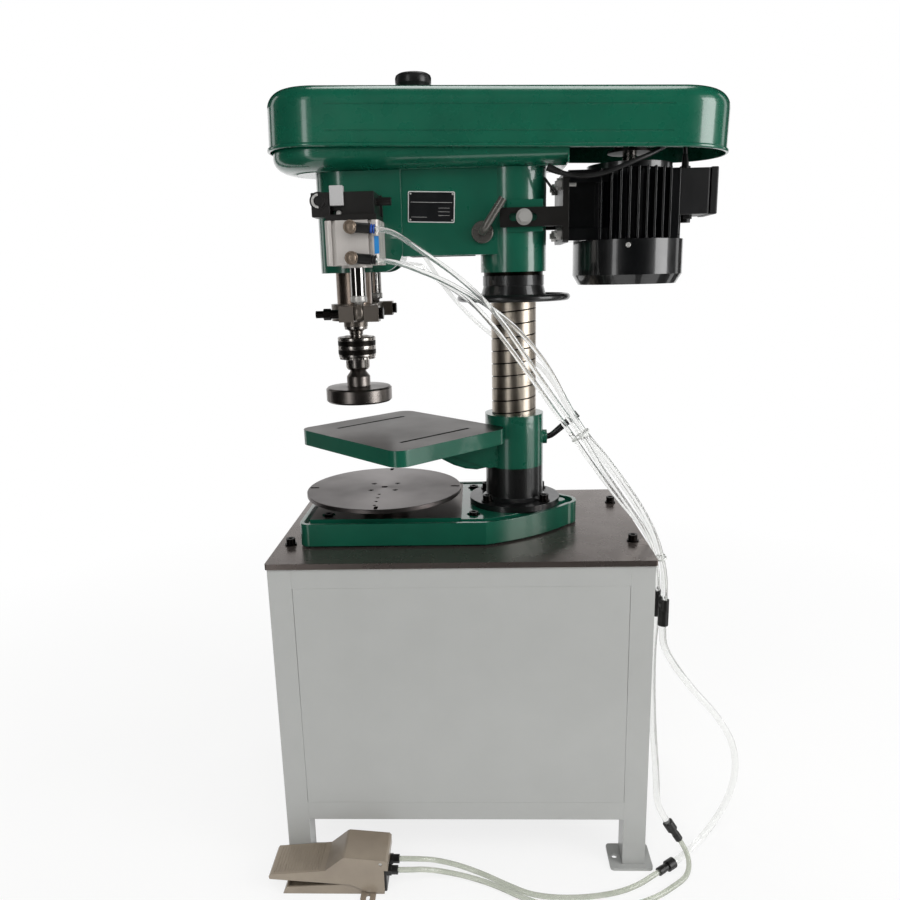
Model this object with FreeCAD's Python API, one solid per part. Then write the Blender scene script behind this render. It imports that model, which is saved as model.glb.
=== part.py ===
import FreeCAD, Part
import math
import os

# Paper tube curling machine on its steel bench, with the air cylinders and foot valve that feed it.
# Millimetres. X runs along the bench to the right, Y to the back, Z up.
# The origin is on the floor, below the centre of the bench top.

V = FreeCAD.Vector
UP = V(0, 0, 1)

# Fits between pieces
running_gap = 0.05
seat_gap = 0.3

# Bench
bench_width = 650.0
bench_depth = 422.0
bench_height = 588.0
top_thickness = 10.0
top_corner = 4.0
frame_inset = 3.0
leg_size = 40.0
leg_wall = 2.5
rail_height = 35.0
lower_rail_bottom = 97.5
panel_thickness = 1.5
panel_gap = 0.6
foot_length = 76.0
foot_depth = 62.0
foot_thickness = 5.0
foot_corner = 7.0
foot_hole_radius = 5.5
foot_hole_inset = 11.0
top_bolt_y = 115.0

# Socket head screws, by thread size
m10_radius = 5.0
m10_head_radius = 8.0
m10_head_height = 10.0
m10_socket_radius = 4.6
m10_washer_radius = 10.5
m10_washer_thickness = 2.0
m10_hole_radius = 5.5

# Cast base
base_end_room = 43.0
base_left = base_end_room - bench_width / 2
base_half = 135.0
base_height = 43.0
base_foot_height = 3.0
base_corner = 18.0
taper_start = 45.0
taper_middle_x = 128.0
taper_middle_y = 93.0
nose_side_x = 199.0
nose_side_y = 29.0
nose_tip = 217.0
base_rim = 7.0
gutter_depth = 7.0
gutter_width = 14.0
pad_proud = 2.0
pad_left = base_left + 16.0
pad_right = 2.0
pad_half = 112.0
base_wall = 12.0
base_web = 17.0
base_boss_radius = 16.0
base_bolt_left = base_left + 45.0
base_bolt_right = 24.0
base_bolt_y = 86.0
counterbore_radius = 12.0
counterbore_depth = 9.0

# Column and its flange
column_x = 101.0
column_radius = 40.0
column_wall = 8.0
column_top = bench_height + 588.0
flange_radius = 84.0
flange_thickness = 11.0
flange_boss_radius = 53.0
flange_boss_top = bench_height + 116.0
flange_fillet = 6.0
flange_bolt_circle = 68.0
flange_bolt_angle = 40.0

# Locating disc
disc_x = -145.0
disc_radius = 145.0
disc_thickness = 8.0
disc_top = bench_height + 72.0
disc_spacer_radius = 45.0
disc_bore_radius = 6.0
disc_slot_radius = 134.0
disc_slot_length = 18.0
disc_slot_width = 7.0
disc_hole_first = 50.0
disc_hole_pitch = 23.0
disc_hole_radius = 3.0
disc_screw_circle = 32.0
disc_screw_radius = 3.0
disc_screw_head = 5.0
disc_screw_head_height = 5.0
disc_screw_sunk = 0.4
disc_screw_stop = 2.0
disc_socket_radius = 2.6
disc_socket_depth = 3.0

# Work table and its bracket
table_swing = 15.5
table_reach = 209.6
table_turn = -60.8
table_length = 284.0
table_width = 254.0
table_corner = 24.0
table_top = bench_height + 196.0
table_thickness = 27.0
table_skin = 11.0
table_wall = 10.0
table_pad_radius = 46.0
table_slot_offset = 90.0
table_slot_length = 156.0
table_slot_width = 7.0
sleeve_radius = 53.5
sleeve_top = table_top + 16.0
sleeve_low = table_top - 80.0
arm_half = 32.0
arm_low_z = table_top - 78.0
arm_tip_z = table_top - 48.0
arm_boss_radius = 40.0
table_bolt_radius = 8.0
table_bolt_head = 13.0
table_bolt_head_height = 9.0
clamp_z = table_top - 31.0
clamp_boss_radius = 13.0
clamp_boss_reach = 60.0
clamp_rod_radius = 6.8
clamp_stem_reach = 76.0
clamp_bend_radius = 14.0
clamp_rod_angle = 45.0
clamp_rod_length = 56.0

# Lifting nut under the head
washer_thickness = 6.0
washer_radius = 52.0
head_sleeve_bottom = bench_height + 464.0
nut_ring_radius = 54.0
nut_ring_height = 16.0
nut_cone_radius = 57.0
nut_cone_height = 16.0
wheel_radius = 100.0
wheel_rim_radius = 6.0
wheel_web_thickness = 5.0
wheel_spokes = 4
wheel_spoke_width = 34.0
screw_pitch = 22.5

# Head casting
head_bottom = head_sleeve_bottom + 5.0
head_top = head_bottom + 165.0
spindle_x = -184.0
nose_radius = 56.0
block_right = -89.0
block_corner = 38.0
web_half = 50.0
web_bottom = head_bottom + 25.0
web_wall = 9.0
head_roof = 12.0
head_bore_top = head_top - 12.0
head_sleeve_radius = 57.5
sleeve_pad_half = 60.0
sleeve_pad_left = 88.0
sleeve_pad_right = 148.0
sleeve_pad_low = head_bottom + 60.0
sleeve_pad_high = head_bottom + 112.0
head_slit = 3.0
lever_x = 46.7
lever_z = head_bottom + 61.6
lever_disc_radius = 18.5
lever_disc_thickness = 7.0
lever_rod_radius = 6.8
lever_stem_reach = 27.0
lever_bend_radius = 14.0
lever_angle = 56.5
lever_length = 62.0
lever_bend_angle = 88.0
lever_disc_chamfer = 1.8

# Belt pan and cover
pan_left_centre = -225.0
pan_half = 86.0
pan_right = 188.0
pan_height = 46.0
pan_sheet = 2.5
pan_end_height = 14.0
cover_left_centre = -225.0
cover_right_centre = 368.0
cover_half = 92.0
cover_height = 97.0
cover_sheet = 1.5
cover_round = 28.0
cover_rim_z = head_top + 27.5
cover_tilt = 1.66
cover_bead = 3.2
crease_depth = 0.5
crease_height = 1.6
crease_low = 23.6
crease_high = 63.5
crease_left = -205.0
crease_right = 350.0
knob_x = -66.0
stud_radius = 6.0
stud_shoulder_radius = 13.0
stud_shoulder_height = 8.0
knob_radius = 29.5
knob_thickness = 18.0
knob_hub_radius = 11.0
knob_hub_height = 19.0
knob_dome = 5.0
knob_lobes = 8
knob_lobe_radius = 5.0

# Belt drive
motor_x = 300.0
pulley_low_z = head_top + 22.0
pulley_step_height = 24.0
pulley_steps = (150.0, 124.0, 98.0)
motor_pulley_steps = (74.0, 100.0, 126.0)
belt_step = 1
belt_depth = 9.0
belt_width = 13.0
belt_seat = 0.35
groove_margin = 2.5
spindle_shaft_radius = 11.0
pulley_hub_radius = 22.0
bearing_height = 14.0

# Quill, spindle, chuck and die
quill_radius = 31.0
quill_bottom = head_bottom - 72.0
quill_top = head_bottom + 123.0
quill_bore = 20.0
collar_radius = 42.0
collar_low = quill_bottom - 11.0
collar_high = quill_bottom + 18.0
collar_neck_radius = 21.5
collar_neck_low = quill_bottom - 22.0
spindle_neck_radius = 11.0
chuck_top = quill_bottom - 38.0
chuck_radius = 34.5
chuck_bottom = chuck_top - 37.5
chuck_groove = 1.6
chuck_teeth_low = chuck_top - 44.0
chuck_nose_radius = 21.5
chuck_nose_low = chuck_top - 62.0
chuck_wall = 3.0
chuck_socket = 16.0
chuck_web = 20.0
chuck_key_radius = 3.5
chuck_key_depth = 8.0
chuck_teeth = 24
chuck_tooth_gap = 4.0
jaw_low = chuck_top - 68.5
jaw_radius = 11.0
jaw_width = 8.0
shank_radius = 19.0
shank_top = chuck_top - 69.5
die_radius = 60.0
die_high = chuck_top - 93.2
die_low = die_high - 26.8
die_edge = 3.0
die_stem_radius = 6.0
die_stem_reach = 18.0
die_shoulder = 2.0
shank_chamfer = 5.5
curl_groove_circle = 44.0
curl_groove_radius = 5.0
die_hole_radius = 3.0
die_hole_depth = 14.0

# Air cylinders
cylinder_x = -160.0
cylinder_y = 107.0
cylinder_size = 86.0
cylinder_low = head_bottom + 11.0
cylinder_high = head_bottom + 80.0
cylinder_corner = 7.0
cylinder_groove_width = 6.0
cylinder_groove_depth = 5.0
cylinder_groove_offset = 17.0
cylinder_bore_radius = 36.0
cylinder_cavity_low = cylinder_low + 12.0
cylinder_cavity_high = cylinder_high - 10.0
end_plate_radius = 25.0
end_plate_height = 3.5
piston_thickness = 14.0
rod_radius = 12.5
rod_low = quill_bottom + 34.0
lock_nut_radius = 13.5
lock_nut_height = 9.5
eye_width = 15.6
eye_radius = 14.0
eye_z = quill_bottom + 5.0
eye_hole_radius = 6.0
feed_stroke = 32.0
clevis_half = 33.0
clevis_slot = 17.0
clevis_low = eye_z - 13.0
clevis_high = eye_z + 13.0
clevis_depth = 28.0
cross_bolt_reach = 40.0
cross_nut_radius = 9.5
cross_nut_length = 12.0
cross_spacer_radius = 7.5

# Cylinder brackets
shelf_thickness = 9.0
shelf_half = 40.0
bracket_block_low = cylinder_high + 9.0
bracket_block_high = cylinder_high + 44.0
bracket_block_left = -176.0
bracket_block_right = -124.0
bracket_block_depth = 60.0
hub_x = -211.0
hub_z = cylinder_high + 30.5
hub_radius = 14.0
hub_ring_radius = 10.5
hub_ring_bore = 7.5
clamp_block_left = -193.0
clamp_block_right = -172.0
clamp_block_low = cylinder_high + 23.0
clamp_block_high = cylinder_high + 53.0
stub_radius = 6.5
stub_end = -100.0

# Port fittings
port_upper_z = cylinder_high - 11.0
port_lower_z = cylinder_low + 11.0
port_radius = 10.3
port_stand = 15.0
elbow_radius = 8.0
elbow_length = 20.0
elbow_drop = 3.0
collet_radius = 6.2
collet_length = 8.0
thin_hose = 8.0
thick_hose = 12.0
foot_hose = 9.0

# Motor and its slide
bar_left = 76.0
bar_low = head_bottom + 68.0
bar_high = head_bottom + 99.0
bar_thickness = 8.0
bar_slot_left = 91.0
bar_slot_right = 138.0
bar_slot_width = 12.6
slide_bolt_x = 116.0
slide_bolt_radius = 6.0
slide_bolt_head = 10.0
slide_bolt_head_height = 8.0
slide_washer_radius = 13.4
slide_washer_thickness = 2.5
motor_plate_left = 180.0
motor_plate_thickness = 10.0
motor_plate_low = head_bottom + 41.0
motor_plate_high = head_bottom + 151.0
motor_plate_corner = 8.0
motor_nut_y = 44.0
motor_nut_z = 40.0
motor_nut_radius = 9.5
motor_nut_height = 8.0
motor_stud_out = 11.0
motor_stud_in = 14.0
frame_radius = 68.0
rotor_radius = 42.0
rotor_air_gap = 0.5
rotor_inset = 12.0
rotor_shaft_out = 6.0
fin_radius = 79.0
fin_pitch = 12.7
fin_thickness = 3.4
frame_low = motor_plate_low + 3.0
frame_high = motor_plate_high + 6.0
shield_radius = 72.0
shield_height = 10.0
motor_foot_half = 52.0
motor_foot_height = 20.0
cowl_radius = 94.0
cowl_low = motor_plate_low - 71.0
cowl_high = motor_plate_low + 2.5
cowl_sheet = 2.0
cowl_chamfer = 16.0
cowl_slots = 12
cowl_slot_length = 39.5
cowl_slot_width = 6.0
cowl_seat_high = 2.0
cowl_seat_low = 8.0
motor_shaft_radius = 12.0
fan_radius = 78.0
fan_low = motor_plate_low - 52.0
fan_high = motor_plate_low - 20.0
fan_blades = 8
fan_hub_radius = 21.0
fan_wall = 3.0
box_left = 366.0
box_right = 430.0
box_half = 36.0
box_low = motor_plate_low + 42.0
box_high = motor_plate_high + 6.0
lid_thickness = 12.0
lid_round = 3.0
lid_lip = 1.0
terminal_wall = 3.0
terminal_corner = 5.0
gland_radius = 9.0
gland_nut_radius = 12.0
gland_length = 12.0
lead_gland_y = 12.0
lead_gland_height = 8.0
lead_straight = 18.0
lead_grommet_radius = 5.5
lead_grommet_length = 12.0
lead_diameter = 8.0

# Foot valve
bench_front = -bench_depth / 2
pedal_near = bench_front - 67.0
pedal_far = bench_front + 2.4
pedal_base_near = bench_front - 63.3
pedal_base_far = bench_front - 11.4
pedal_wall = 3.0
pedal_skirt = 3.0
pedal_pin_x = -146.0
pedal_pin_z = 63.0
pedal_pin_radius = 3.0
pedal_ear_half = 13.0
pedal_rib_height = 0.9
pedal_rib_width = 1.8
pedal_rib_pitch = 5.2
pedal_rib_count = 16
pedal_rib_left = -332.0
pedal_rib_inset = 5.0
pedal_tab_x = -169.0
pedal_tab_half = 13.0
pedal_tab_reach = 22.0
pedal_tab_thickness = 4.0
pedal_tab_corner = 7.8
pedal_slot_width = 7.0
pedal_slot_length = 14.0
valve_left = -214.0
valve_right = -137.0
valve_gap = 0.3
valve_high = 50.0
foot_port_z = 37.0
foot_port_near = bench_front - 49.0
foot_port_far = bench_front - 23.0
foot_nut_radius = 9.5
foot_nut_length = 8.0
foot_collet_radius = 7.5
foot_collet_length = 11.0

# Side outlines of the foot valve, as X and Z
pedal_base_outline = [
    (-320.0, 0.0), (-141.5, 0.0), (-141.5, 63.0), (-144.0, 66.5), (-153.0, 66.5), (-163.0, 24.0), (-199.0, 20.0),
    (-314.0, 13.0),
]
treadle_outline = [
    (-341.0, 33.0), (-342.0, 38.0), (-339.0, 42.0), (-243.0, 50.0), (-212.0, 75.0), (-208.0, 76.5), (-137.0, 70.0),
    (-133.5, 66.0), (-133.5, 50.0), (-140.5, 50.0), (-140.5, 6.0), (-170.0, 6.0), (-199.0, 21.5),
]
treadle_hollow = [
    (-345.0, 30.0), (-338.0, 38.5), (-243.5, 46.5), (-212.5, 71.0), (-208.0, 73.0), (-139.0, 67.0), (-136.8, 64.5),
    (-136.8, 45.0), (-100.0, 45.0), (-100.0, -5.0), (-345.0, -5.0),
]

# Hose joiners
hose_straight = 22.0
floor_straight = 12.0
routes_bench_height = 588.0
routes_floor_reach = 80.0
union_twin_spacing = 15.0
union_twin_radius = 7.0
union_twin_length = 20.0
union_body_radius = 9.0
union_body_length = 30.0
reducer_large_radius = 9.5
reducer_small_radius = 7.0
reducer_waist_radius = 6.5
union_outer = (349.0, -160.0)
union_inner = (346.0, -120.0)
union_top = bench_height - 88.0

# Worked out from the sizes above
top_low = bench_height - top_thickness
frame_x = bench_width / 2 - frame_inset
frame_y = bench_depth / 2 - frame_inset
rail_mid_x = frame_x - leg_size / 2
base_low = bench_height + base_foot_height
base_top = bench_height + base_height
pad_top = base_top + pad_proud
flange_top = base_top + flange_thickness
column_bore = column_radius + running_gap
table_low = table_top - table_thickness
nut_top = head_sleeve_bottom - washer_thickness
nut_cone_top = nut_top - nut_ring_height
nut_low = nut_cone_top - nut_cone_height
wheel_z = nut_low - wheel_rim_radius
pan_floor = head_top + pan_sheet
cylinder_face = cylinder_y + cylinder_size / 2
motor_plate_right = motor_plate_left + motor_plate_thickness


def box(x0, x1, y0, y1, z0, z1):
    return Part.makeBox(x1 - x0, y1 - y0, z1 - z0, V(x0, y0, z0))


def rod(start, end, radius):
    axis = end - start
    return Part.makeCylinder(radius, axis.Length, start, axis)


def post(x, y, z0, z1, radius):
    return Part.makeCylinder(radius, z1 - z0, V(x, y, z0), UP)


def ring(x, y, z0, z1, outer, inner):
    return post(x, y, z0, z1, outer).cut(post(x, y, z0 - 1, z1 + 1, inner))


def prism(points, z0, z1):
    corners = [V(x, y, z0) for x, y in points]
    face = Part.Face(Part.makePolygon(corners + corners[:1]))
    return face.extrude(V(0, 0, z1 - z0))


def side_prism(points, y0, y1):
    corners = [V(x, y0, z) for x, z in points]
    face = Part.Face(Part.makePolygon(corners + corners[:1]))
    return face.extrude(V(0, y1 - y0, 0))


def round_upright(shape, radius):
    edges = []
    for edge in shape.Edges:
        ends = [v.Point for v in edge.Vertexes]
        if len(ends) == 2 and abs(ends[0].x - ends[1].x) + abs(ends[0].y - ends[1].y) < 1e-6:
            edges.append(edge)
    return shape.makeFillet(radius, edges)


def round_box(x0, x1, y0, y1, z0, z1, radius):
    return round_upright(box(x0, x1, y0, y1, z0, z1), radius)


def slot(x, y, z0, z1, length, width, angle):
    straight = length - width
    shape = box(-straight / 2, straight / 2, -width / 2, width / 2, z0, z1)
    shape = shape.fuse([post(-straight / 2, 0, z0, z1, width / 2), post(straight / 2, 0, z0, z1, width / 2)])
    shape = shape.removeSplitter()
    shape.rotate(V(0, 0, 0), UP, angle)
    shape.translate(V(x, y, 0))
    return shape


def hexagon(centre, axis, across_radius, height):
    spots = []
    for i in range(6):
        angle = math.radians(60 * i)
        spots.append(V(across_radius * math.cos(angle), across_radius * math.sin(angle), 0))
    shape = Part.Face(Part.makePolygon(spots + spots[:1])).extrude(V(0, 0, height))
    shape.Placement = FreeCAD.Placement(centre, FreeCAD.Rotation(UP, axis))
    return shape


def revolve(points, x, y):
    corners = [V(x + r, y, z) for r, z in points]
    face = Part.Face(Part.makePolygon(corners + corners[:1]))
    return face.revolve(V(x, y, 0), UP, 360)


def group(shapes):
    return Part.makeCompound(shapes)


def mirror_y(shape):
    return shape.mirror(V(0, 0, 0), V(0, 1, 0))


def polar(x, y, radius, angle):
    return x + radius * math.cos(math.radians(angle)), y + radius * math.sin(math.radians(angle))


def stadium(x0, x1, half, z0, z1):
    """Long round-ended block between two end centres."""
    left = Part.Arc(V(x0, half, z0), V(x0 - half, 0, z0), V(x0, -half, z0)).toShape()
    right = Part.Arc(V(x1, -half, z0), V(x1 + half, 0, z0), V(x1, half, z0)).toShape()
    near = Part.LineSegment(V(x0, -half, z0), V(x1, -half, z0)).toShape()
    far = Part.LineSegment(V(x1, half, z0), V(x0, half, z0)).toShape()
    return Part.Face(Part.Wire([left, near, right, far])).extrude(V(0, 0, z1 - z0))


def cap_screw(x, y, seat, shank_low, washer=True):
    """M10 socket head screw standing on a seat, with its washer."""
    low = seat + (m10_washer_thickness if washer else 0)
    head = post(x, y, low, low + m10_head_height, m10_head_radius)
    head = head.fuse(post(x, y, shank_low, low, m10_radius)).removeSplitter()
    socket_centre = V(x, y, low + m10_head_height / 2)
    shapes = [head.cut(hexagon(socket_centre, UP, m10_socket_radius, m10_head_height))]
    if washer:
        shapes.append(ring(x, y, seat, low, m10_washer_radius, m10_radius + running_gap))
    return shapes


# Bench

def leg_spots():
    x = frame_x - leg_size
    y = frame_y - leg_size
    return [(sx, sy, (x if sx > 0 else -frame_x), (y if sy > 0 else -frame_y)) for sx in (-1, 1) for sy in (-1, 1)]


def bench_legs():
    legs = []
    for sx, sy, x, y in leg_spots():
        leg = box(x, x + leg_size, y, y + leg_size, foot_thickness, top_low)
        inner = box(
            x + leg_wall, x + leg_size - leg_wall, y + leg_wall, y + leg_size - leg_wall, 0, bench_height
        )
        legs.append(leg.cut(inner))
    return group(legs)


def foot_plates():
    plates = []
    for sx, sy, x, y in leg_spots():
        outer_x = sx * (frame_x + (foot_length - leg_size) / 2 - 4)
        outer_y = sy * (frame_y + (foot_depth - leg_size) / 2)
        x0 = min(outer_x, outer_x - sx * foot_length)
        y0 = min(outer_y, outer_y - sy * foot_depth)
        plate = round_box(x0, x0 + foot_length, y0, y0 + foot_depth, 0, foot_thickness, foot_corner)
        hole_x = sx * (frame_x - leg_size - foot_hole_inset)
        hole_y = sy * (frame_y - leg_size / 2)
        plates.append(plate.cut(post(hole_x, hole_y, -1, foot_thickness + 1, foot_hole_radius)))
    return group(plates)


def rail_levels():
    return [lower_rail_bottom, top_low - rail_height]


def tube_along(x0, x1, y0, y1, z0, z1, axis):
    outer = box(x0, x1, y0, y1, z0, z1)
    wall_x = 0 if axis == "x" else leg_wall
    wall_y = 0 if axis == "y" else leg_wall
    return outer.cut(box(x0 + wall_x, x1 - wall_x, y0 + wall_y, y1 - wall_y, z0 + leg_wall, z1 - leg_wall))


def bench_rails():
    rails = []
    for z in rail_levels():
        for side in (-1, 1):
            near = side * frame_y
            y0, y1 = min(near, near - side * leg_size), max(near, near - side * leg_size)
            reach = frame_x - leg_size
            rails.append(tube_along(-reach, reach, y0, y1, z, z + rail_height, "x"))
            edge = side * frame_x
            x0, x1 = min(edge, edge - side * leg_size), max(edge, edge - side * leg_size)
            depth = frame_y - leg_size
            rail = tube_along(x0, x1, -depth, depth, z, z + rail_height, "y")
            if z > bench_height / 2:
                for y in (-top_bolt_y, top_bolt_y):
                    rail = rail.cut(post(side * rail_mid_x, y, z, z + 2 * rail_height, m10_radius + running_gap))
            rails.append(rail)
    return group(rails)


def panel_span():
    low, high = rail_levels()
    return low + rail_height, high


def bench_panels():
    z0, z1 = panel_span()
    x = frame_x - leg_size - panel_gap
    y = frame_y - leg_size - panel_gap
    front = box(-x, x, -frame_y, -frame_y + panel_thickness, z0, z1)
    left = box(-frame_x, -frame_x + panel_thickness, -y, y, z0, z1)
    right = box(frame_x - panel_thickness, frame_x, -y, y, z0, z1)
    return group([front, mirror_y(front), left, right])


def top_bolt_spots():
    return [(sx * rail_mid_x, sy * top_bolt_y) for sx in (-1, 1) for sy in (-1, 1)]


def bench_top():
    plate = round_box(
        -bench_width / 2, bench_width / 2, -bench_depth / 2, bench_depth / 2, top_low, bench_height, top_corner
    )
    for x, y in top_bolt_spots():
        plate = plate.cut(post(x, y, 0, bench_height + 1, m10_hole_radius))
    for x, y in base_bolt_spots():
        plate = plate.cut(post(x, y, 0, bench_height + 1, m10_radius + running_gap))
    return plate


# Base, column and disc

def base_outline(inset, z):
    start = V(base_left + base_corner, -base_half, z)
    taper = V(taper_start, -base_half, z)
    side = V(nose_side_x, -nose_side_y, z)

    def flip(p):
        return V(p.x, -p.y, p.z)

    corner_low = V(base_left, -base_half + base_corner, z)
    turn = base_corner * (1 - math.sqrt(0.5))
    corner_mid = V(base_left + turn, -base_half + turn, z)
    near = [
        Part.Arc(corner_low, corner_mid, start).toShape(),
        Part.LineSegment(start, taper).toShape(),
        Part.Arc(taper, V(taper_middle_x, -taper_middle_y, z), side).toShape(),
    ]
    nose = Part.Arc(side, V(nose_tip, 0, z), flip(side)).toShape()
    far = [
        Part.Arc(flip(side), V(taper_middle_x, taper_middle_y, z), flip(taper)).toShape(),
        Part.LineSegment(flip(taper), flip(start)).toShape(),
        Part.Arc(flip(start), flip(corner_mid), flip(corner_low)).toShape(),
    ]
    back = Part.LineSegment(flip(corner_low), corner_low).toShape()
    face = Part.Face(Part.Wire(near + [nose] + far + [back]))
    if inset:
        face = face.makeOffset2D(-inset)
    return face


def base_prism(inset, z0, z1):
    return base_outline(inset, z0).extrude(V(0, 0, z1 - z0))


def base_bolt_spots():
    return [(x, y) for x in (base_bolt_left, base_bolt_right) for y in (-base_bolt_y, base_bolt_y)]


def base_casting():
    body = base_prism(0, base_low, base_top)
    gutter_floor = base_top - gutter_depth
    gutter = base_prism(base_rim, gutter_floor, base_top + 1)
    table_pad = box(pad_left, pad_right, -pad_half, pad_half, base_low, pad_top)
    column_pad = base_prism(base_rim + gutter_width, gutter_floor, base_top)
    column_pad = column_pad.common(box(pad_right, nose_tip, -base_half, base_half, base_low, base_top))
    body = body.cut(gutter).fuse([table_pad, column_pad]).removeSplitter()
    pocket = base_prism(base_wall, base_low - 1, base_top - base_web)
    bosses = [post(x, y, base_low, base_top - base_web, base_boss_radius) for x, y in base_bolt_spots()]
    ribs = [
        box(base_left + 1, nose_side_x, -base_wall / 2, base_wall / 2, base_low, base_top - base_web),
        box(disc_x - base_wall / 2, disc_x + base_wall / 2, -base_half + 1, base_half - 1, base_low,
            base_top - base_web),
    ]
    body = body.cut(pocket.cut(Part.makeCompound(bosses)).cut(Part.makeCompound(ribs)))
    feet = []
    for x, y in base_bolt_spots():
        feet.append(post(x, y, bench_height, base_low, base_boss_radius))
    body = body.fuse(feet).removeSplitter()
    for x, y in base_bolt_spots():
        body = body.cut(post(x, y, bench_height - 1, pad_top + 1, m10_hole_radius))
        seat = pad_top - counterbore_depth
        body = body.cut(post(x, y, seat, pad_top + 1, counterbore_radius))
    for x, y in flange_bolt_spots():
        body = body.cut(post(x, y, base_low - 1, pad_top + 1, m10_radius + running_gap))
    return body.cut(post(disc_x, 0, base_low - 1, pad_top + 1, disc_bore_radius))


def cap_screws():
    """The bench top's, base's and column flange's M10 screws, and the disc's M6 ones."""
    shapes = []
    for x, y in top_bolt_spots():
        shapes += cap_screw(x, y, bench_height, top_low - rail_height / 2)
    for x, y in base_bolt_spots():
        shapes += cap_screw(x, y, pad_top - counterbore_depth, top_low)
    for x, y in flange_bolt_spots():
        shapes += cap_screw(x, y, flange_top, base_top - base_web)
    for x, y in disc_screw_spots():
        head_low = disc_top - disc_screw_head_height
        screw = post(x, y, head_low, disc_top - disc_screw_sunk, disc_screw_head)
        screw = screw.fuse(post(x, y, pad_top + disc_screw_stop, head_low, disc_screw_radius)).removeSplitter()
        shapes.append(screw.cut(hexagon(V(x, y, disc_top - disc_socket_depth), UP, disc_socket_radius, 5)))
    return group(shapes)


def flange_bolt_spots():
    angles = (flange_bolt_angle, 180 - flange_bolt_angle, 180 + flange_bolt_angle, 360 - flange_bolt_angle)
    return [polar(column_x, 0, flange_bolt_circle, a) for a in angles]


def column_flange():
    body = ring(column_x, 0, base_top, flange_top, flange_radius, column_bore)
    boss = ring(column_x, 0, base_top, flange_boss_top, flange_boss_radius, column_bore)
    flare = revolve(
        [
            (column_bore, flange_top),
            (flange_boss_radius + flange_fillet, flange_top),
            (flange_boss_radius, flange_top + flange_fillet),
            (column_bore, flange_top + flange_fillet),
        ],
        column_x, 0,
    )
    body = body.fuse([boss, flare]).removeSplitter()
    for x, y in flange_bolt_spots():
        body = body.cut(post(x, y, base_top - 1, flange_boss_top - 1, m10_hole_radius))
        seat = flange_top
        body = body.cut(post(x, y, seat, flange_boss_top - 1, m10_washer_radius + seat_gap))
    return body


def column():
    return ring(column_x, 0, base_top, column_top, column_radius, column_radius - column_wall)


def disc_screw_spots():
    return [polar(disc_x, 0, disc_screw_circle, 45 + 90 * i) for i in range(4)]


def locating_disc():
    low = disc_top - disc_thickness
    disc = ring(disc_x, 0, low, disc_top, disc_radius, disc_bore_radius)
    edges = [e for e in disc.Edges if abs(e.Length - 2 * math.pi * disc_radius) < 1]
    disc = disc.makeChamfer(0.8, edges)
    for i in range(4):
        x, y = polar(disc_x, 0, disc_slot_radius, 90 * i)
        disc = disc.cut(slot(x, y, low - 1, disc_top + 1, disc_slot_length, disc_slot_width, 90 * i))
    for i in range(4):
        y = -(disc_hole_first + disc_hole_pitch * i)
        disc = disc.cut(post(disc_x - 4, y, low - 1, disc_top + 1, disc_hole_radius))
    for x, y in disc_screw_spots():
        disc = disc.cut(post(x, y, low - 1, disc_top + 1, disc_screw_radius + running_gap))
        disc = disc.cut(post(x, y, disc_top - disc_screw_head_height, disc_top + 1, disc_screw_head + seat_gap))
    return disc


def disc_spacer():
    spacer = ring(disc_x, 0, pad_top, disc_top - disc_thickness, disc_spacer_radius, disc_bore_radius)
    for x, y in disc_screw_spots():
        spacer = spacer.cut(post(x, y, pad_top - 1, disc_top, disc_screw_radius + running_gap))
    return spacer


# Work table: drawn with its arm along -X, then swung round the column

def swing(shape):
    shape.rotate(V(column_x, 0, 0), UP, table_swing)
    return shape


def table_centre_x():
    return column_x - table_reach


def turned(shape):
    shape.rotate(V(0, 0, 0), UP, table_turn)
    shape.translate(V(table_centre_x(), 0, 0))
    return swing(shape)


def table_block(inset, z0, z1):
    x = table_length / 2 - inset
    y = table_width / 2 - inset
    return round_box(-x, x, -y, y, z0, z1, table_corner - inset)


def work_table():
    body = table_block(0, table_low, table_top)
    pocket = table_block(table_wall, table_low - 1, table_top - table_skin)
    rib = table_wall / 2
    keep = [
        post(0, 0, table_low, table_top, table_pad_radius),
        box(-table_length / 2, table_length / 2, -rib, rib, table_low + 3, table_top),
        box(-rib, rib, -table_width / 2, table_width / 2, table_low + 3, table_top),
    ]
    body = body.cut(pocket.cut(Part.makeCompound(keep)))
    for side in (-1, 1):
        cut = slot(
            side * table_slot_offset, 0, table_low - 1, table_top + 1, table_slot_length, table_slot_width, 90
        )
        body = body.cut(cut)
    body = body.cut(post(0, 0, table_low - 1, table_top - table_skin + 3, table_bolt_radius + running_gap))
    return turned(body)


def table_bolt():
    x = table_centre_x()
    head_high = arm_tip_z
    bolt = hexagon(V(x, 0, head_high - table_bolt_head_height), UP, table_bolt_head, table_bolt_head_height)
    bolt = bolt.fuse(post(x, 0, head_high - 2, table_top - table_skin, table_bolt_radius)).removeSplitter()
    return swing(bolt)


def table_bracket():
    body = post(column_x, 0, sleeve_low, sleeve_top, sleeve_radius)
    tip_x = table_centre_x()
    arm = side_prism(
        [
            (column_x, arm_low_z),
            (column_x - sleeve_radius - 8, arm_low_z),
            (column_x - sleeve_radius - 80, arm_tip_z),
            (tip_x, arm_tip_z),
            (tip_x, table_low),
            (column_x, table_low),
        ],
        -arm_half, arm_half,
    )
    body = body.fuse([arm, post(tip_x, 0, arm_tip_z, table_low, arm_boss_radius)])
    body = swing(body)
    boss = rod(V(column_x, 0, clamp_z), V(column_x + clamp_boss_reach, 0, clamp_z), clamp_boss_radius)
    body = body.fuse(boss).removeSplitter()
    body = body.cut(post(column_x, 0, sleeve_low - 1, sleeve_top + 1, column_bore))
    body = body.cut(rod(
        V(column_x, 0, clamp_z), V(column_x + clamp_boss_reach + 1, 0, clamp_z), clamp_rod_radius + running_gap
    ))
    hole = swing(post(tip_x, 0, arm_tip_z - 1, table_low + 1, table_bolt_radius + running_gap))
    return body.cut(hole)


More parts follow.
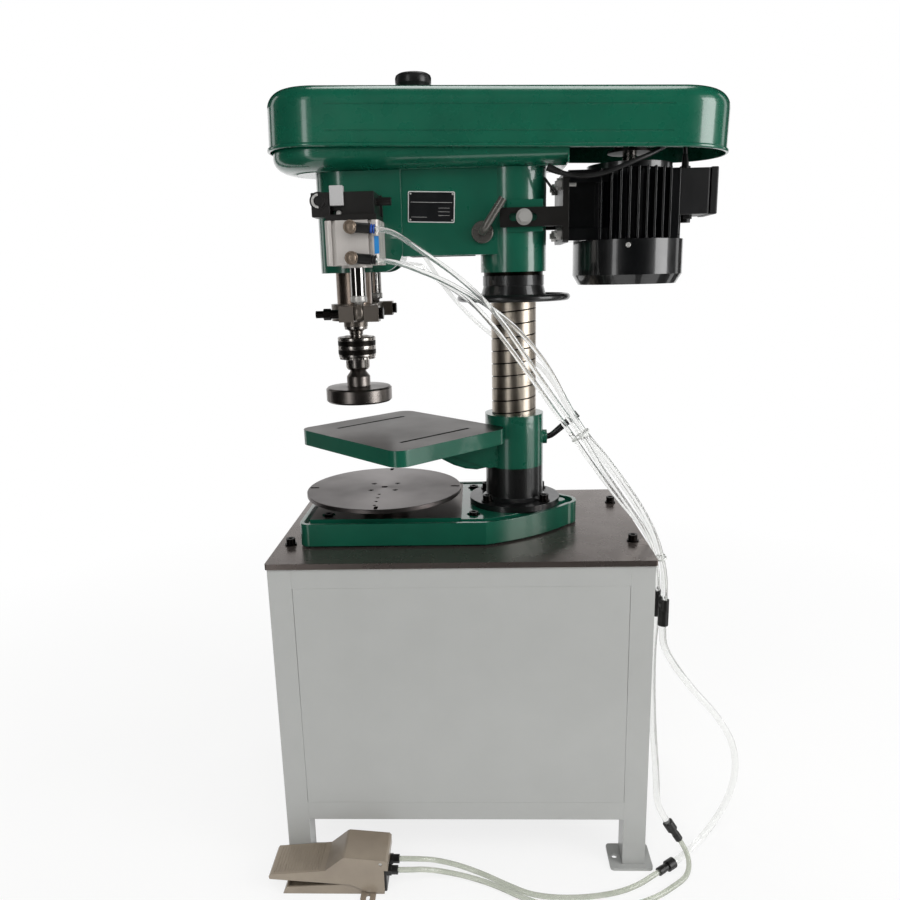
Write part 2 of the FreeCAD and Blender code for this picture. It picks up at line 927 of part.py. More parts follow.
def bent_rod(start, direction, bend_direction, stem, angle, bend_radius, length, radius):
    """Round bar that leaves start along direction and turns by angle towards bend_direction."""
    turn = math.radians(angle)
    corner_cut = bend_radius * math.tan(turn / 2)
    corner = start + direction * stem
    out = direction * math.cos(turn) + bend_direction * math.sin(turn)
    first = corner - direction * corner_cut
    last = corner + out * corner_cut
    centre = first + bend_direction * bend_radius
    middle = centre - (bend_direction * math.cos(turn / 2) - direction * math.sin(turn / 2)) * bend_radius
    tip = corner + out * length
    path = Part.Wire([
        Part.LineSegment(start, first).toShape(),
        Part.Arc(first, middle, last).toShape(),
        Part.LineSegment(last, tip).toShape(),
    ])
    return swept(path, start, direction, radius)


def swept(path, start, direction, radius):
    profile = Part.Wire(Part.makeCircle(radius, start, direction))
    pipe = Part.BRepOffsetAPI.MakePipeShell(path)
    pipe.add(profile)
    pipe.build()
    pipe.makeSolid()
    return pipe.shape()


def table_clamp_handle():
    start = V(column_x + column_radius + seat_gap, 0, clamp_z)
    stem = clamp_stem_reach - column_radius - seat_gap
    return bent_rod(
        start, V(1, 0, 0), UP, stem, clamp_rod_angle, clamp_bend_radius, clamp_rod_length, clamp_rod_radius
    )


# Lifting nut

def thrust_washer():
    return ring(column_x, 0, nut_top, head_sleeve_bottom, washer_radius, column_bore)


def lift_nut():
    profile = [
        (column_bore, nut_low - 2 * wheel_rim_radius),
        (nut_cone_radius, nut_low - 2 * wheel_rim_radius),
        (nut_cone_radius, nut_low),
        (nut_ring_radius - 1, nut_cone_top - 1),
        (nut_ring_radius, nut_cone_top - 1),
        (nut_ring_radius, nut_top),
        (column_bore, nut_top),
    ]
    nut = revolve(profile, column_x, 0)
    rim_centre = V(column_x, 0, wheel_z)
    rim = Part.makeTorus(wheel_radius - wheel_rim_radius, wheel_rim_radius, rim_centre, UP)
    spokes = []
    reach = wheel_radius - wheel_rim_radius
    half = wheel_web_thickness / 2
    for i in range(wheel_spokes):
        spoke = box(
            nut_cone_radius - 5, reach, -wheel_spoke_width / 2, wheel_spoke_width / 2, wheel_z - half, wheel_z + half
        )
        spoke.rotate(V(0, 0, 0), UP, 45 + 360 / wheel_spokes * i)
        spoke.translate(V(column_x, 0, 0))
        spokes.append(spoke)
    return nut.fuse([rim] + spokes).removeSplitter()


# Head

def head_casting():
    nose = post(spindle_x, 0, head_bottom, head_top, nose_radius)
    block = box(spindle_x, block_right, -nose_radius, nose_radius, head_bottom, head_top)
    corner = [e for e in block.Edges if is_block_corner(e)]
    block = block.makeFillet(block_corner, corner)
    web = box(block_right - 1, column_x, -web_half, web_half, web_bottom, head_top)
    sleeve = post(column_x, 0, head_sleeve_bottom, head_top, head_sleeve_radius)
    pad = box(
        sleeve_pad_left, sleeve_pad_right, -sleeve_pad_half, sleeve_pad_half, sleeve_pad_low, sleeve_pad_high
    )
    body = nose.fuse([block, web, sleeve, pad]).removeSplitter()
    roof = head_top - head_roof
    left = block_right + web_wall
    right = column_x - head_sleeve_radius
    body = body.cut(box(left, right - web_wall, -web_half + web_wall, web_half - web_wall, web_bottom - 1, roof))
    block_left = spindle_x + quill_radius + 2 * web_wall
    inner = nose_radius - web_wall
    body = body.cut(box(block_left, block_right - web_wall, -inner, inner, head_bottom - 1, roof))
    body = body.cut(post(column_x, 0, head_sleeve_bottom - 1, head_bore_top, column_bore))
    body = body.cut(post(spindle_x, 0, head_bottom - 1, quill_top + 2, quill_radius + running_gap))
    body = body.cut(post(spindle_x, 0, quill_top, head_top + 1, pulley_hub_radius + 4))
    slit_left = right - web_wall - 1
    body = body.cut(
        box(slit_left, column_x, -head_slit / 2, head_slit / 2, head_sleeve_bottom - 1, head_bore_top)
    )
    screw = V(lever_x, -2 * web_half, lever_z)
    body = body.cut(rod(screw, screw + V(0, 4 * web_half, 0), lever_rod_radius + running_gap))
    for side in (-1, 1):
        hole = V(slide_bolt_x, side * (column_radius + 4), slide_bolt_z())
        reach = V(slide_bolt_x, side * (sleeve_pad_half + 1), slide_bolt_z())
        body = body.cut(rod(hole, reach, slide_bolt_radius + running_gap))
    return body.cut(post(knob_x, 0, roof - 1, head_top + 1, stud_radius + running_gap))


def is_block_corner(edge):
    ends = [v.Point for v in edge.Vertexes]
    if len(ends) != 2:
        return False
    along_y = abs(ends[0].y - ends[1].y) > nose_radius
    return along_y and all(abs(p.x - block_right) < 1e-6 and abs(p.z - head_bottom) < 1e-6 for p in ends)


def slide_bolt_z():
    return (bar_low + bar_high) / 2


def head_clamp_lever():
    face = -web_half - seat_gap
    start = V(lever_x, web_half, lever_z)
    stem = web_half + lever_stem_reach + web_half
    turn = math.radians(lever_angle)
    aim = V(math.cos(turn), 0, math.sin(turn))
    lever = bent_rod(
        start, V(0, -1, 0), aim, stem, lever_bend_angle, lever_bend_radius, lever_length, lever_rod_radius
    )
    disc = rod(V(lever_x, face - lever_disc_thickness, lever_z), V(lever_x, face, lever_z), lever_disc_radius)
    edges = [e for e in disc.Edges if abs(e.Length - 2 * math.pi * lever_disc_radius) < 0.5]
    disc = disc.makeChamfer(lever_disc_chamfer, edges)
    return lever.fuse(disc).removeSplitter()


# Belt pan and cover

def belt_pan():
    outer = stadium(pan_left_centre, pan_right + pan_half, pan_half, head_top, head_top + pan_height)
    inner = stadium(
        pan_left_centre, pan_right + pan_half, pan_half - pan_sheet, pan_floor, head_top + pan_height + 1
    )
    keep = box(pan_left_centre - pan_half, pan_right, -pan_half, pan_half, head_top, head_top + pan_height)
    start, onward = [V(*p) for p in raised(lead_route[:2])]
    back = (start - onward).normalize()
    grommet = rod(start, start + back * lead_grommet_length, lead_grommet_radius)
    body = outer.common(keep).fuse(grommet).cut(inner)
    end = box(
        pan_right - pan_sheet, pan_right, -pan_half + pan_sheet, pan_half - pan_sheet, pan_floor,
        head_top + pan_end_height
    )
    body = body.fuse(end).removeSplitter()
    body = body.cut(post(spindle_x, 0, head_top - 1, pan_floor + 1, pulley_hub_radius + 4))
    return body.cut(post(knob_x, 0, head_top - 1, pan_floor + 1, stud_radius + running_gap))


def tilt(shape):
    """The cover hangs on its one stud and drops a little at the motor end."""
    shape.rotate(V(0, 0, cover_rim_z), V(0, 1, 0), cover_tilt)
    return shape


def cover_top_at(x):
    slope = math.tan(math.radians(cover_tilt))
    return cover_rim_z + cover_height / math.cos(math.radians(cover_tilt)) - slope * x


def cover_shell(inset, high_inset):
    body = stadium(
        cover_left_centre, cover_right_centre, cover_half - inset, cover_rim_z, cover_rim_z + cover_height - high_inset
    )
    level = cover_rim_z + cover_height - high_inset
    top = [e for e in body.Edges if all(abs(v.Z - level) < 1e-6 for v in e.Vertexes)]
    return body.makeFillet(cover_round - high_inset, top)


def belt_cover():
    body = cover_shell(0, 0)
    bead = stadium(
        cover_left_centre, cover_right_centre, cover_half + cover_bead, cover_rim_z, cover_rim_z + 2 * cover_bead
    )
    rim_edges = []
    for e in bead.Edges:
        heights = {round(v.Z, 3) for v in e.Vertexes}
        if len(heights) == 1:
            rim_edges.append(e)
    bead = bead.makeFillet(cover_bead * 0.9, rim_edges)
    body = body.fuse(bead).removeSplitter()
    inner = cover_shell(cover_sheet, cover_sheet)
    body = body.cut(inner)
    body = body.cut(stadium(
        cover_left_centre, cover_right_centre, cover_half - cover_sheet, cover_rim_z - 1, cover_rim_z + 2
    ))
    for level in (crease_low, crease_high):
        z = cover_rim_z + level
        for side in (-1, 1):
            face = side * cover_half
            y0 = min(face + side, face - side * crease_depth)
            y1 = max(face + side, face - side * crease_depth)
            body = body.cut(box(crease_left, crease_right, y0, y1, z, z + crease_height))
    body = tilt(body)
    return body.cut(post(knob_x, 0, head_top, head_top + 500, stud_radius + 1))


def cover_stud():
    seat = cover_top_at(knob_x) - cover_sheet - 1.5 * seat_gap - stud_tilt_room()
    stud = post(knob_x, 0, head_top - head_roof, cover_top_at(knob_x) + knob_hub_height, stud_radius)
    shoulder = post(knob_x, 0, seat - stud_shoulder_height, seat, stud_shoulder_radius)
    return stud.fuse(shoulder).removeSplitter()


def stud_tilt_room():
    return math.tan(math.radians(cover_tilt)) * stud_shoulder_radius


def cover_knob():
    low = cover_top_at(knob_x) + seat_gap + math.tan(math.radians(cover_tilt)) * knob_hub_radius
    head_low = low + knob_hub_height
    head = post(knob_x, 0, head_low, head_low + knob_thickness, knob_radius)
    top = [e for e in head.Edges if all(abs(v.Z - head_low - knob_thickness) < 1e-6 for v in e.Vertexes)]
    head = head.makeFillet(knob_dome, top)
    for i in range(knob_lobes):
        x, y = polar(knob_x, 0, knob_radius + knob_lobe_radius * 0.55, 360 / knob_lobes * i)
        head = head.cut(post(x, y, head_low - 1, head_low + knob_thickness + 1, knob_lobe_radius))
    body = head.fuse(post(knob_x, 0, low, head_low, knob_hub_radius)).removeSplitter()
    return body.cut(post(knob_x, 0, low - 1, head_low + knob_thickness / 2, stud_radius + running_gap))


# Belt drive

def pulley(x, steps, bore):
    profile = [(bore, pulley_low_z)]
    z = pulley_low_z
    for diameter in steps:
        radius = diameter / 2
        middle = z + pulley_step_height / 2
        half = belt_width / 2 + 0.5
        profile += [
            (radius, z),
            (radius, middle - half - groove_margin / 2),
            (radius - belt_depth - 1, middle - half),
            (radius - belt_depth - 1, middle + half),
            (radius, middle + half + groove_margin / 2),
            (radius, z + pulley_step_height),
        ]
        z += pulley_step_height
    profile.append((bore, z))
    return revolve(profile, x, 0)


def spindle_pulley():
    body = pulley(spindle_x, pulley_steps, spindle_shaft_radius + running_gap)
    hub = ring(
        spindle_x, 0, bearing_top(), pulley_low_z, pulley_hub_radius - 8, spindle_shaft_radius + running_gap
    )
    return body.fuse(hub).removeSplitter()


def bearing_top():
    return head_top + 4


def pulley_bearing():
    return ring(
        spindle_x, 0, bearing_top() - bearing_height, bearing_top(), pulley_hub_radius + 4 - running_gap,
        pulley_hub_radius - 6
    )


def motor_pulley():
    return pulley(motor_x, motor_pulley_steps, motor_shaft_radius + running_gap)


def belt_face(offset, z):
    """Face inside a loop laid over both pulleys, at a height over the groove floor."""
    r1 = pulley_steps[belt_step] / 2 - belt_depth - 1 + offset
    r2 = motor_pulley_steps[belt_step] / 2 - belt_depth - 1 + offset
    distance = motor_x - spindle_x
    lean = math.asin((r1 - r2) / distance)
    c, s = math.cos(lean), math.sin(lean)

    def on(x, r, side):
        return V(x + r * s, side * r * c, z)

    left = Part.Arc(on(spindle_x, r1, 1), V(spindle_x - r1, 0, z), on(spindle_x, r1, -1)).toShape()
    near = Part.LineSegment(on(spindle_x, r1, -1), on(motor_x, r2, -1)).toShape()
    right = Part.Arc(on(motor_x, r2, -1), V(motor_x + r2, 0, z), on(motor_x, r2, 1)).toShape()
    far = Part.LineSegment(on(motor_x, r2, 1), on(spindle_x, r1, 1)).toShape()
    return Part.Face(Part.Wire([left, near, right, far]))


def v_belt():
    z = pulley_low_z + pulley_step_height * (belt_step + 0.5) - belt_width / 2
    outer = belt_face(belt_seat + belt_depth, z).extrude(V(0, 0, belt_width))
    inner = belt_face(belt_seat, z - 1).extrude(V(0, 0, belt_width + 2))
    return outer.cut(inner)


# Motor

def motor_mount():
    """Slotted bars on both sides of the head, welded to the plate that the motor bolts to."""
    plate = box(
        motor_plate_left, motor_plate_right, -sleeve_pad_half - bar_thickness, sleeve_pad_half + bar_thickness,
        motor_plate_low, motor_plate_high
    )
    edges = [e for e in plate.Edges if abs(e.Length - motor_plate_thickness) < 1e-6]
    plate = plate.makeFillet(motor_plate_corner, edges)
    for y, z in motor_bolt_spots():
        plate = plate.cut(rod(V(motor_plate_left - 1, y, z), V(motor_plate_right + 1, y, z), m10_radius + running_gap))
    return plate.fuse(slide_bars()).removeSplitter()


def slide_bars():
    shapes = []
    for side in (-1, 1):
        y0 = min(side * sleeve_pad_half, side * (sleeve_pad_half + bar_thickness))
        bar = box(bar_left, motor_plate_left + 1, y0, y0 + bar_thickness, bar_low, bar_high)
        half = bar_slot_width / 2
        z = slide_bolt_z()
        cut = box(bar_slot_left + half, bar_slot_right - half, y0 - 1, y0 + bar_thickness + 1, z - half, z + half)
        for x in (bar_slot_left + half, bar_slot_right - half):
            cut = cut.fuse(rod(V(x, y0 - 1, z), V(x, y0 + bar_thickness + 1, z), half))
        shapes.append(bar.cut(cut.removeSplitter()))
    return shapes


def slide_bolts():
    shapes = []
    for side in (-1, 1):
        face = side * (sleeve_pad_half + bar_thickness)
        z = slide_bolt_z()
        washer_out = face + side * slide_washer_thickness
        washer = rod(V(slide_bolt_x, face, z), V(slide_bolt_x, washer_out, z), slide_washer_radius)
        washer = washer.cut(
            rod(V(slide_bolt_x, face - side, z), V(slide_bolt_x, washer_out + side, z), slide_bolt_radius + running_gap)
        )
        head = hexagon(V(slide_bolt_x, washer_out, z), V(0, side, 0), slide_bolt_head, slide_bolt_head_height)
        shank = rod(
            V(slide_bolt_x, side * (column_radius + 6), z), V(slide_bolt_x, washer_out + side, z), slide_bolt_radius
        )
        shapes += [washer, head.fuse(shank).removeSplitter()]
    return group(shapes)


def motor_bolt_spots():
    middle = (motor_plate_low + motor_plate_high) / 2
    return [(sy * motor_nut_y, middle + sz * motor_nut_z) for sy in (-1, 1) for sz in (-1, 1)]


def motor_bolts():
    shapes = []
    for y, z in motor_bolt_spots():
        nut = hexagon(V(motor_plate_left, y, z), V(-1, 0, 0), motor_nut_radius, motor_nut_height)
        shank = rod(
            V(motor_plate_left - motor_stud_out, y, z), V(motor_plate_right + motor_stud_in, y, z), m10_radius
        )
        shapes.append(nut.fuse(shank).removeSplitter())
    return group(shapes)


def motor_frame():
    core = post(motor_x, 0, frame_low, frame_high, frame_radius)
    skin = post(motor_x, 0, frame_low, frame_high, fin_radius)
    fins = []
    count = int(frame_radius // fin_pitch)
    for i in range(-count, count + 1):
        x = motor_x + i * fin_pitch
        fins.append(box(
            x - fin_thickness / 2, x + fin_thickness / 2, -fin_radius, fin_radius, frame_low + 1, frame_high - 1
        ))
    fins = Part.makeCompound(fins).common(skin)
    feet = []
    for z in {spot[1] for spot in motor_bolt_spots()}:
        low = z - motor_foot_height / 2
        feet.append(box(
            motor_plate_right, motor_x, -motor_foot_half, motor_foot_half, low, low + motor_foot_height
        ))
    neck = box(motor_x, box_left, -box_half + 6, box_half - 6, box_low + 6, box_high - 6)
    body = core.fuse(fins.Solids + feet + [neck]).removeSplitter()
    bore = post(motor_x, 0, frame_low - 1, frame_high + 1, rotor_radius + rotor_air_gap)
    body = body.cut(bore)
    for y, z in motor_bolt_spots():
        tip = V(motor_plate_right + motor_stud_in + 1, y, z)
        body = body.cut(rod(V(motor_plate_left, y, z), tip, m10_radius + running_gap))
    return body.cut(box(box_left, motor_x + cowl_radius, -box_half, box_half, box_low, box_high))


def end_shields():
    shapes = []
    for low in (frame_high, frame_low - shield_height):
        shapes.append(ring(
            motor_x, 0, low, low + shield_height, shield_radius, motor_shaft_radius + running_gap
        ))
    return group(shapes)


def motor_rotor():
    high = pulley_low_z + pulley_step_height * len(motor_pulley_steps)
    shaft = post(motor_x, 0, fan_low - rotor_shaft_out, high, motor_shaft_radius)
    core = post(motor_x, 0, frame_low + rotor_inset, frame_high - rotor_inset, rotor_radius)
    return shaft.fuse(core).removeSplitter()


def fan_cowl():
    profile = [
        (cowl_radius - cowl_sheet, cowl_high),
        (cowl_radius, cowl_high),
        (cowl_radius, cowl_low + cowl_chamfer),
        (cowl_radius - cowl_chamfer * 0.6, cowl_low),
        (0, cowl_low),
        (0, cowl_low + cowl_sheet),
        (cowl_radius - cowl_chamfer * 0.6 - 1, cowl_low + cowl_sheet),
        (cowl_radius - cowl_sheet, cowl_low + cowl_chamfer),
    ]
    body = revolve(profile, motor_x, 0)
    cuts = []
    for i in range(cowl_slots):
        x, y = polar(motor_x, 0, cowl_radius * 0.5, 360 / cowl_slots * i)
        cuts.append(slot(
            x, y, cowl_low - 1, cowl_low + cowl_sheet + 1, cowl_slot_length, cowl_slot_width, 360 / cowl_slots * i
        ))
    body = body.cut(Part.makeCompound(cuts))
    seat = ring(
        motor_x, 0, frame_low - cowl_seat_low, frame_low - cowl_seat_high, cowl_radius - cowl_sheet - running_gap,
        shield_radius + running_gap
    )
    return body.fuse(seat).removeSplitter()


def motor_fan():
    body = ring(motor_x, 0, fan_low, fan_high, fan_hub_radius, motor_shaft_radius + running_gap)
    disc = ring(motor_x, 0, fan_high - fan_wall, fan_high, fan_radius, motor_shaft_radius + running_gap)
    blades = []
    for i in range(fan_blades):
        blade = box(fan_hub_radius - fan_wall, fan_radius, -fan_wall / 2, fan_wall / 2, fan_low, fan_high)
        blade.rotate(V(0, 0, 0), UP, 360 / fan_blades * i)
        blade.translate(V(motor_x, 0, 0))
        blades.append(blade)
    return body.fuse([disc] + blades).removeSplitter()


def terminal_box():
    wall = terminal_wall
    outer = round_box(box_left, box_right, -box_half, box_half, box_low, box_high, terminal_corner)
    inner = box(box_left + wall, box_right + 1, -box_half + wall, box_half - wall, box_low + wall, box_high - wall)
    x = (box_left + box_right) / 2
    low_gland = post(x, 0, box_low - gland_length, box_low, gland_radius)
    low_gland = low_gland.fuse(hexagon(V(x, 0, box_low - gland_length / 2), UP, gland_nut_radius, gland_length / 2))
    top_gland = post(x, lead_gland_y, box_high, box_high + lead_gland_height, gland_radius)
    return outer.cut(inner).fuse([low_gland, top_gland]).removeSplitter()


def terminal_lid():
    lid = box(
        box_right, box_right + lid_thickness, -box_half - lid_lip, box_half + lid_lip, box_low - lid_lip,
        box_high + lid_lip
    )
    edges = [e for e in lid.Edges if all(abs(v.X - box_right - lid_thickness) < 1e-6 for v in e.Vertexes)]
    return lid.makeFillet(lid_round, edges)


# Quill and everything that it carries

def quill():
    return ring(spindle_x, 0, quill_bottom, quill_top, quill_radius, quill_bore)


def quill_collar():
    body = ring(spindle_x, 0, collar_low, collar_high, collar_radius, quill_radius + running_gap)
    floor = ring(spindle_x, 0, collar_low, quill_bottom, collar_radius, quill_bore)
    neck = ring(spindle_x, 0, collar_neck_low, collar_low, collar_neck_radius, spindle_neck_radius + 4)
    neck = neck.fuse(ring(spindle_x, 0, collar_low, collar_low + 3, quill_bore + 1, spindle_neck_radius + 4))
    shapes = [floor, neck]
    for side in (-1, 1):
        y_out = side * (cylinder_y + clevis_depth / 2)
        y_in = side * (cylinder_y - clevis_depth / 2)
        block = box(
            cylinder_x - clevis_half, cylinder_x + clevis_half, min(y_in, y_out), max(y_in, y_out),
            clevis_low, clevis_high
        )
        arm = box(
            spindle_x, cylinder_x + eye_width, min(side * (collar_radius - 12), y_in),
            max(side * (collar_radius - 12), y_in), clevis_low, clevis_high
        )
        arm = arm.cut(post(spindle_x, 0, clevis_low - 1, clevis_high + 1, quill_radius + running_gap))
        shapes += [block, arm]
    body = body.fuse(shapes).removeSplitter()
    for side in (-1, 1):
        y = side * cylinder_y
        half = clevis_slot / 2
        reach = side * (cylinder_y - clevis_depth / 2 - 8)
        y0, y1 = min(reach, side * (cylinder_y + 40)), max(reach, side * (cylinder_y + 40))
        body = body.cut(box(cylinder_x - half, cylinder_x + half, y0, y1, clevis_low - 1, clevis_high + 1))
        start = V(cylinder_x - clevis_half - 1, y, eye_z)
        body = body.cut(rod(start, start + V(2 * clevis_half + 2, 0, 0), eye_hole_radius + running_gap))
    return body


def cross_bolts():
    shapes = []
    for side in (-1, 1):
        y = side * cylinder_y
        left = cylinder_x - clevis_half
        right = cylinder_x + clevis_half
        shank = rod(V(left - cross_bolt_reach, y, eye_z), V(right + 2, y, eye_z), eye_hole_radius)
        head = rod(V(right + seat_gap, y, eye_z), V(right + 7, y, eye_z), cross_nut_radius)
        spacer = rod(V(left - 15, y, eye_z), V(left - seat_gap, y, eye_z), cross_spacer_radius)
        nut_left = left - 15 - cross_nut_length
        nut = hexagon(V(nut_left, y, eye_z), V(1, 0, 0), cross_nut_radius, cross_nut_length)
        shapes.append(shank.fuse([head, spacer, nut]).removeSplitter())
    return group(shapes)


def piston_rods():
    shapes = []
    for side in (-1, 1):
        y = side * cylinder_y
        body = post(cylinder_x, y, rod_low, cylinder_cavity_high - seat_gap, rod_radius)
        piston_low = cylinder_cavity_high - seat_gap - piston_thickness
        piston = post(cylinder_x, y, piston_low, cylinder_cavity_high - seat_gap, cylinder_bore_radius - running_gap)
        shapes.append(body.fuse(piston).removeSplitter())
    return group(shapes)


def rod_ends():
    """Lock nut and eye at the foot of each piston rod."""
    shapes = []
    for side in (-1, 1):
        y = side * cylinder_y
        half = eye_width / 2
        top = rod_low - lock_nut_height
        shapes.append(hexagon(V(cylinder_x, y, top), UP, lock_nut_radius, lock_nut_height))
        eye = rod(V(cylinder_x - half, y, eye_z), V(cylinder_x + half, y, eye_z), eye_radius)
        neck = box(cylinder_x - half, cylinder_x + half, y - eye_radius * 0.75, y + eye_radius * 0.75, eye_z, top)
        body = eye.fuse(neck).removeSplitter()
        hole = rod(
            V(cylinder_x - eye_width, y, eye_z), V(cylinder_x + eye_width, y, eye_z), eye_hole_radius + running_gap
        )
        shapes.append(body.cut(hole))
    return group(shapes)


def spindle_bearings():
    shapes = []
    for low in (quill_bottom, quill_top - bearing_height):
        shapes.append(ring(
            spindle_x, 0, low, low + bearing_height, quill_bore - running_gap, spindle_shaft_radius + running_gap
        ))
    return group(shapes)


def spindle():
    high = pulley_low_z + pulley_step_height * len(pulley_steps) + feed_stroke / 4
    return post(spindle_x, 0, chuck_top - chuck_socket, high, spindle_shaft_radius)


def chuck_body():
    core = post(spindle_x, 0, chuck_nose_low + 4, chuck_top, chuck_radius - chuck_wall)
    nose = post(spindle_x, 0, chuck_nose_low, chuck_nose_low + 8, chuck_nose_radius)
    lower = post(spindle_x, 0, chuck_nose_low, chuck_teeth_low, chuck_nose_radius)
    body = core.cut(ring(spindle_x, 0, chuck_nose_low, chuck_teeth_low, chuck_radius + 5, chuck_nose_radius))
    body = body.fuse([nose, lower]).removeSplitter()
    body = body.cut(post(spindle_x, 0, chuck_top - chuck_socket, chuck_top + 1, spindle_shaft_radius))
    body = body.cut(post(spindle_x, 0, chuck_nose_low - 1, chuck_top - chuck_web, jaw_radius + running_gap))
    hole = V(spindle_x - chuck_nose_radius - 2, 0, (chuck_nose_low + chuck_teeth_low) / 2 + 1)
    return body.cut(rod(hole, hole + V(chuck_key_depth, 0, 0), chuck_key_radius))


def chuck_sleeve():
    low, high = chuck_bottom, chuck_top - 2
    body = ring(spindle_x, 0, low, high, chuck_radius, chuck_radius - chuck_wall + running_gap)
    band = (high - low) / 4
    for i in (1, 3):
        z = low + band * i - band / 2
        body = body.cut(ring(spindle_x, 0, z, z + band, chuck_radius + 1, chuck_radius - chuck_groove))
    teeth = ring(spindle_x, 0, chuck_teeth_low, low, chuck_radius - 1, chuck_radius - chuck_wall + running_gap)
    cuts = []
    half = chuck_tooth_gap / 2
    for i in range(chuck_teeth):
        cut = box(
            chuck_radius - chuck_wall - 1, chuck_radius + 1, -half, half, chuck_teeth_low - 1,
            chuck_teeth_low + chuck_tooth_gap
        )
        cut.rotate(V(0, 0, 0), UP, 360 / chuck_teeth * i)
        cut.translate(V(spindle_x, 0, 0))
        cuts.append(cut)
    return body.fuse(teeth.cut(Part.makeCompound(cuts))).removeSplitter()


def chuck_jaws():
    shapes = []
    for i in range(3):
        angle = 120 * i + 30
        wedge = post(spindle_x, 0, jaw_low, chuck_top - chuck_web - 2, jaw_radius)
        wedge = wedge.cut(post(spindle_x, 0, jaw_low - 1, chuck_top, die_stem_radius + running_gap))
        sector = box(0, 2 * jaw_radius, -jaw_width / 2, jaw_width / 2, jaw_low - 1, chuck_top)
        sector.rotate(V(0, 0, 0), UP, angle)
        sector.translate(V(spindle_x, 0, 0))
        shapes.append(wedge.common(sector))
    return group(shapes)


def curling_die():
    profile = [
        (0, die_low),
        (die_radius - die_edge, die_low),
        (die_radius, die_low + die_edge),
        (die_radius, die_high - die_edge),
        (die_radius - die_edge, die_high),
        (shank_radius, die_high + die_shoulder),
        (shank_radius, shank_top - shank_chamfer),
        (shank_radius - shank_chamfer, shank_top),
        (die_stem_radius, shank_top),
        (die_stem_radius, chuck_nose_low + die_stem_reach),
        (0, chuck_nose_low + die_stem_reach),
    ]
    body = revolve(profile, spindle_x, 0)
    curl = Part.makeTorus(curl_groove_circle, curl_groove_radius, V(spindle_x, 0, die_low), UP)
    body = body.cut(curl)
    hole = V(spindle_x - die_radius - 1, 0, (die_low + die_high) / 2)
    return body.cut(rod(hole, hole + V(die_hole_depth, 0, 0), die_hole_radius))


# Air cylinders, one each side of the head

def cylinder_body(side):
    half = cylinder_size / 2
    y = side * cylinder_y
    body = round_box(cylinder_x - half, cylinder_x + half, y - half, y + half, cylinder_low, cylinder_high, cylinder_corner)
    grooves = []
    for offset in (-cylinder_groove_offset, cylinder_groove_offset):
        for face in (-1, 1):
            depth = cylinder_groove_depth
            width = cylinder_groove_width / 2
            edge = half - depth
            x0 = cylinder_x + offset * 1.7
            y0 = y + face * (edge + depth / 2 + 0.5)
            grooves.append(box(
                x0 - width, x0 + width, y0 - depth / 2 - 0.5, y0 + depth / 2 + 0.5, cylinder_low - 1, cylinder_high + 1
            ))
            x1 = cylinder_x + face * (edge + depth / 2 + 0.5)
            y1 = y + offset
            grooves.append(box(
                x1 - depth / 2 - 0.5, x1 + depth / 2 + 0.5, y1 - width, y1 + width, cylinder_low - 1, cylinder_high + 1
            ))
    body = body.cut(Part.makeCompound(grooves))
    plate = post(cylinder_x, y, cylinder_low - end_plate_height, cylinder_low, end_plate_radius)
    body = body.fuse(plate).removeSplitter()
    body = body.cut(post(cylinder_x, y, cylinder_cavity_low, cylinder_cavity_high, cylinder_bore_radius))
    return body.cut(post(cylinder_x, y, cylinder_low - 10, cylinder_cavity_high, rod_radius + running_gap))


def air_cylinders():
    return group([cylinder_body(-1), cylinder_body(1)])


def bracket_shelf(side):
    y_in = side * nose_radius * 0.5
    y_out = side * cylinder_face
    shelf = box(
        cylinder_x - shelf_half, cylinder_x + shelf_half, min(y_in, y_out), max(y_in, y_out), cylinder_high,
        cylinder_high + shelf_thickness
    )
    back_in = side * nose_radius
    back_out = side * (nose_radius + shelf_thickness - 2)
    upright = box(
        cylinder_x - shelf_half, cylinder_x + shelf_half, min(back_in, back_out), max(back_in, back_out),
        cylinder_high, bracket_block_high
    )
    return shelf.fuse(upright)


def near_bracket():
    y_face = -cylinder_y - bracket_block_depth / 2
    block = box(
        bracket_block_left, bracket_block_right, y_face, -nose_radius, bracket_block_low, bracket_block_high
    )
    hub = rod(V(hub_x, y_face - 6, hub_z), V(hub_x, -nose_radius * 0.75, hub_z), hub_radius)
    ring_out = rod(V(hub_x, y_face - 8, hub_z), V(hub_x, y_face - 6, hub_z), hub_ring_radius)
    ring_in = rod(V(hub_x, y_face - 9, hub_z), V(hub_x, y_face - 4, hub_z), hub_ring_bore)
    link = box(hub_x, bracket_block_left, y_face + 6, -nose_radius, hub_z - hub_radius, hub_z + hub_radius)
    stub = rod(
        V(bracket_block_right, -cylinder_y, hub_z), V(stub_end, -cylinder_y, hub_z), stub_radius
    )
    clamp = box(
        clamp_block_left, clamp_block_right, y_face - 6, y_face + 7, clamp_block_low, clamp_block_high
    )
    body = bracket_shelf(-1).fuse([block, hub, ring_out, link, stub, clamp]).cut(ring_in)
    return body.cut(head_keepout()).removeSplitter()


def head_keepout():
    nose = post(spindle_x, 0, head_bottom, head_top, nose_radius + running_gap)
    block = box(spindle_x, block_right, -nose_radius, nose_radius, head_bottom, head_top)
    return nose.fuse(block)


def far_bracket():
    block = box(
        bracket_block_left, bracket_block_right, nose_radius, cylinder_y, bracket_block_low, bracket_block_high
    )
    body = bracket_shelf(1).fuse(block)
    return body.cut(head_keepout()).removeSplitter()


def cylinder_brackets():
    return group([near_bracket(), far_bracket()])


def port_spots():
    return [(side, z) for side in (-1, 1) for z in (port_lower_z, port_upper_z)]


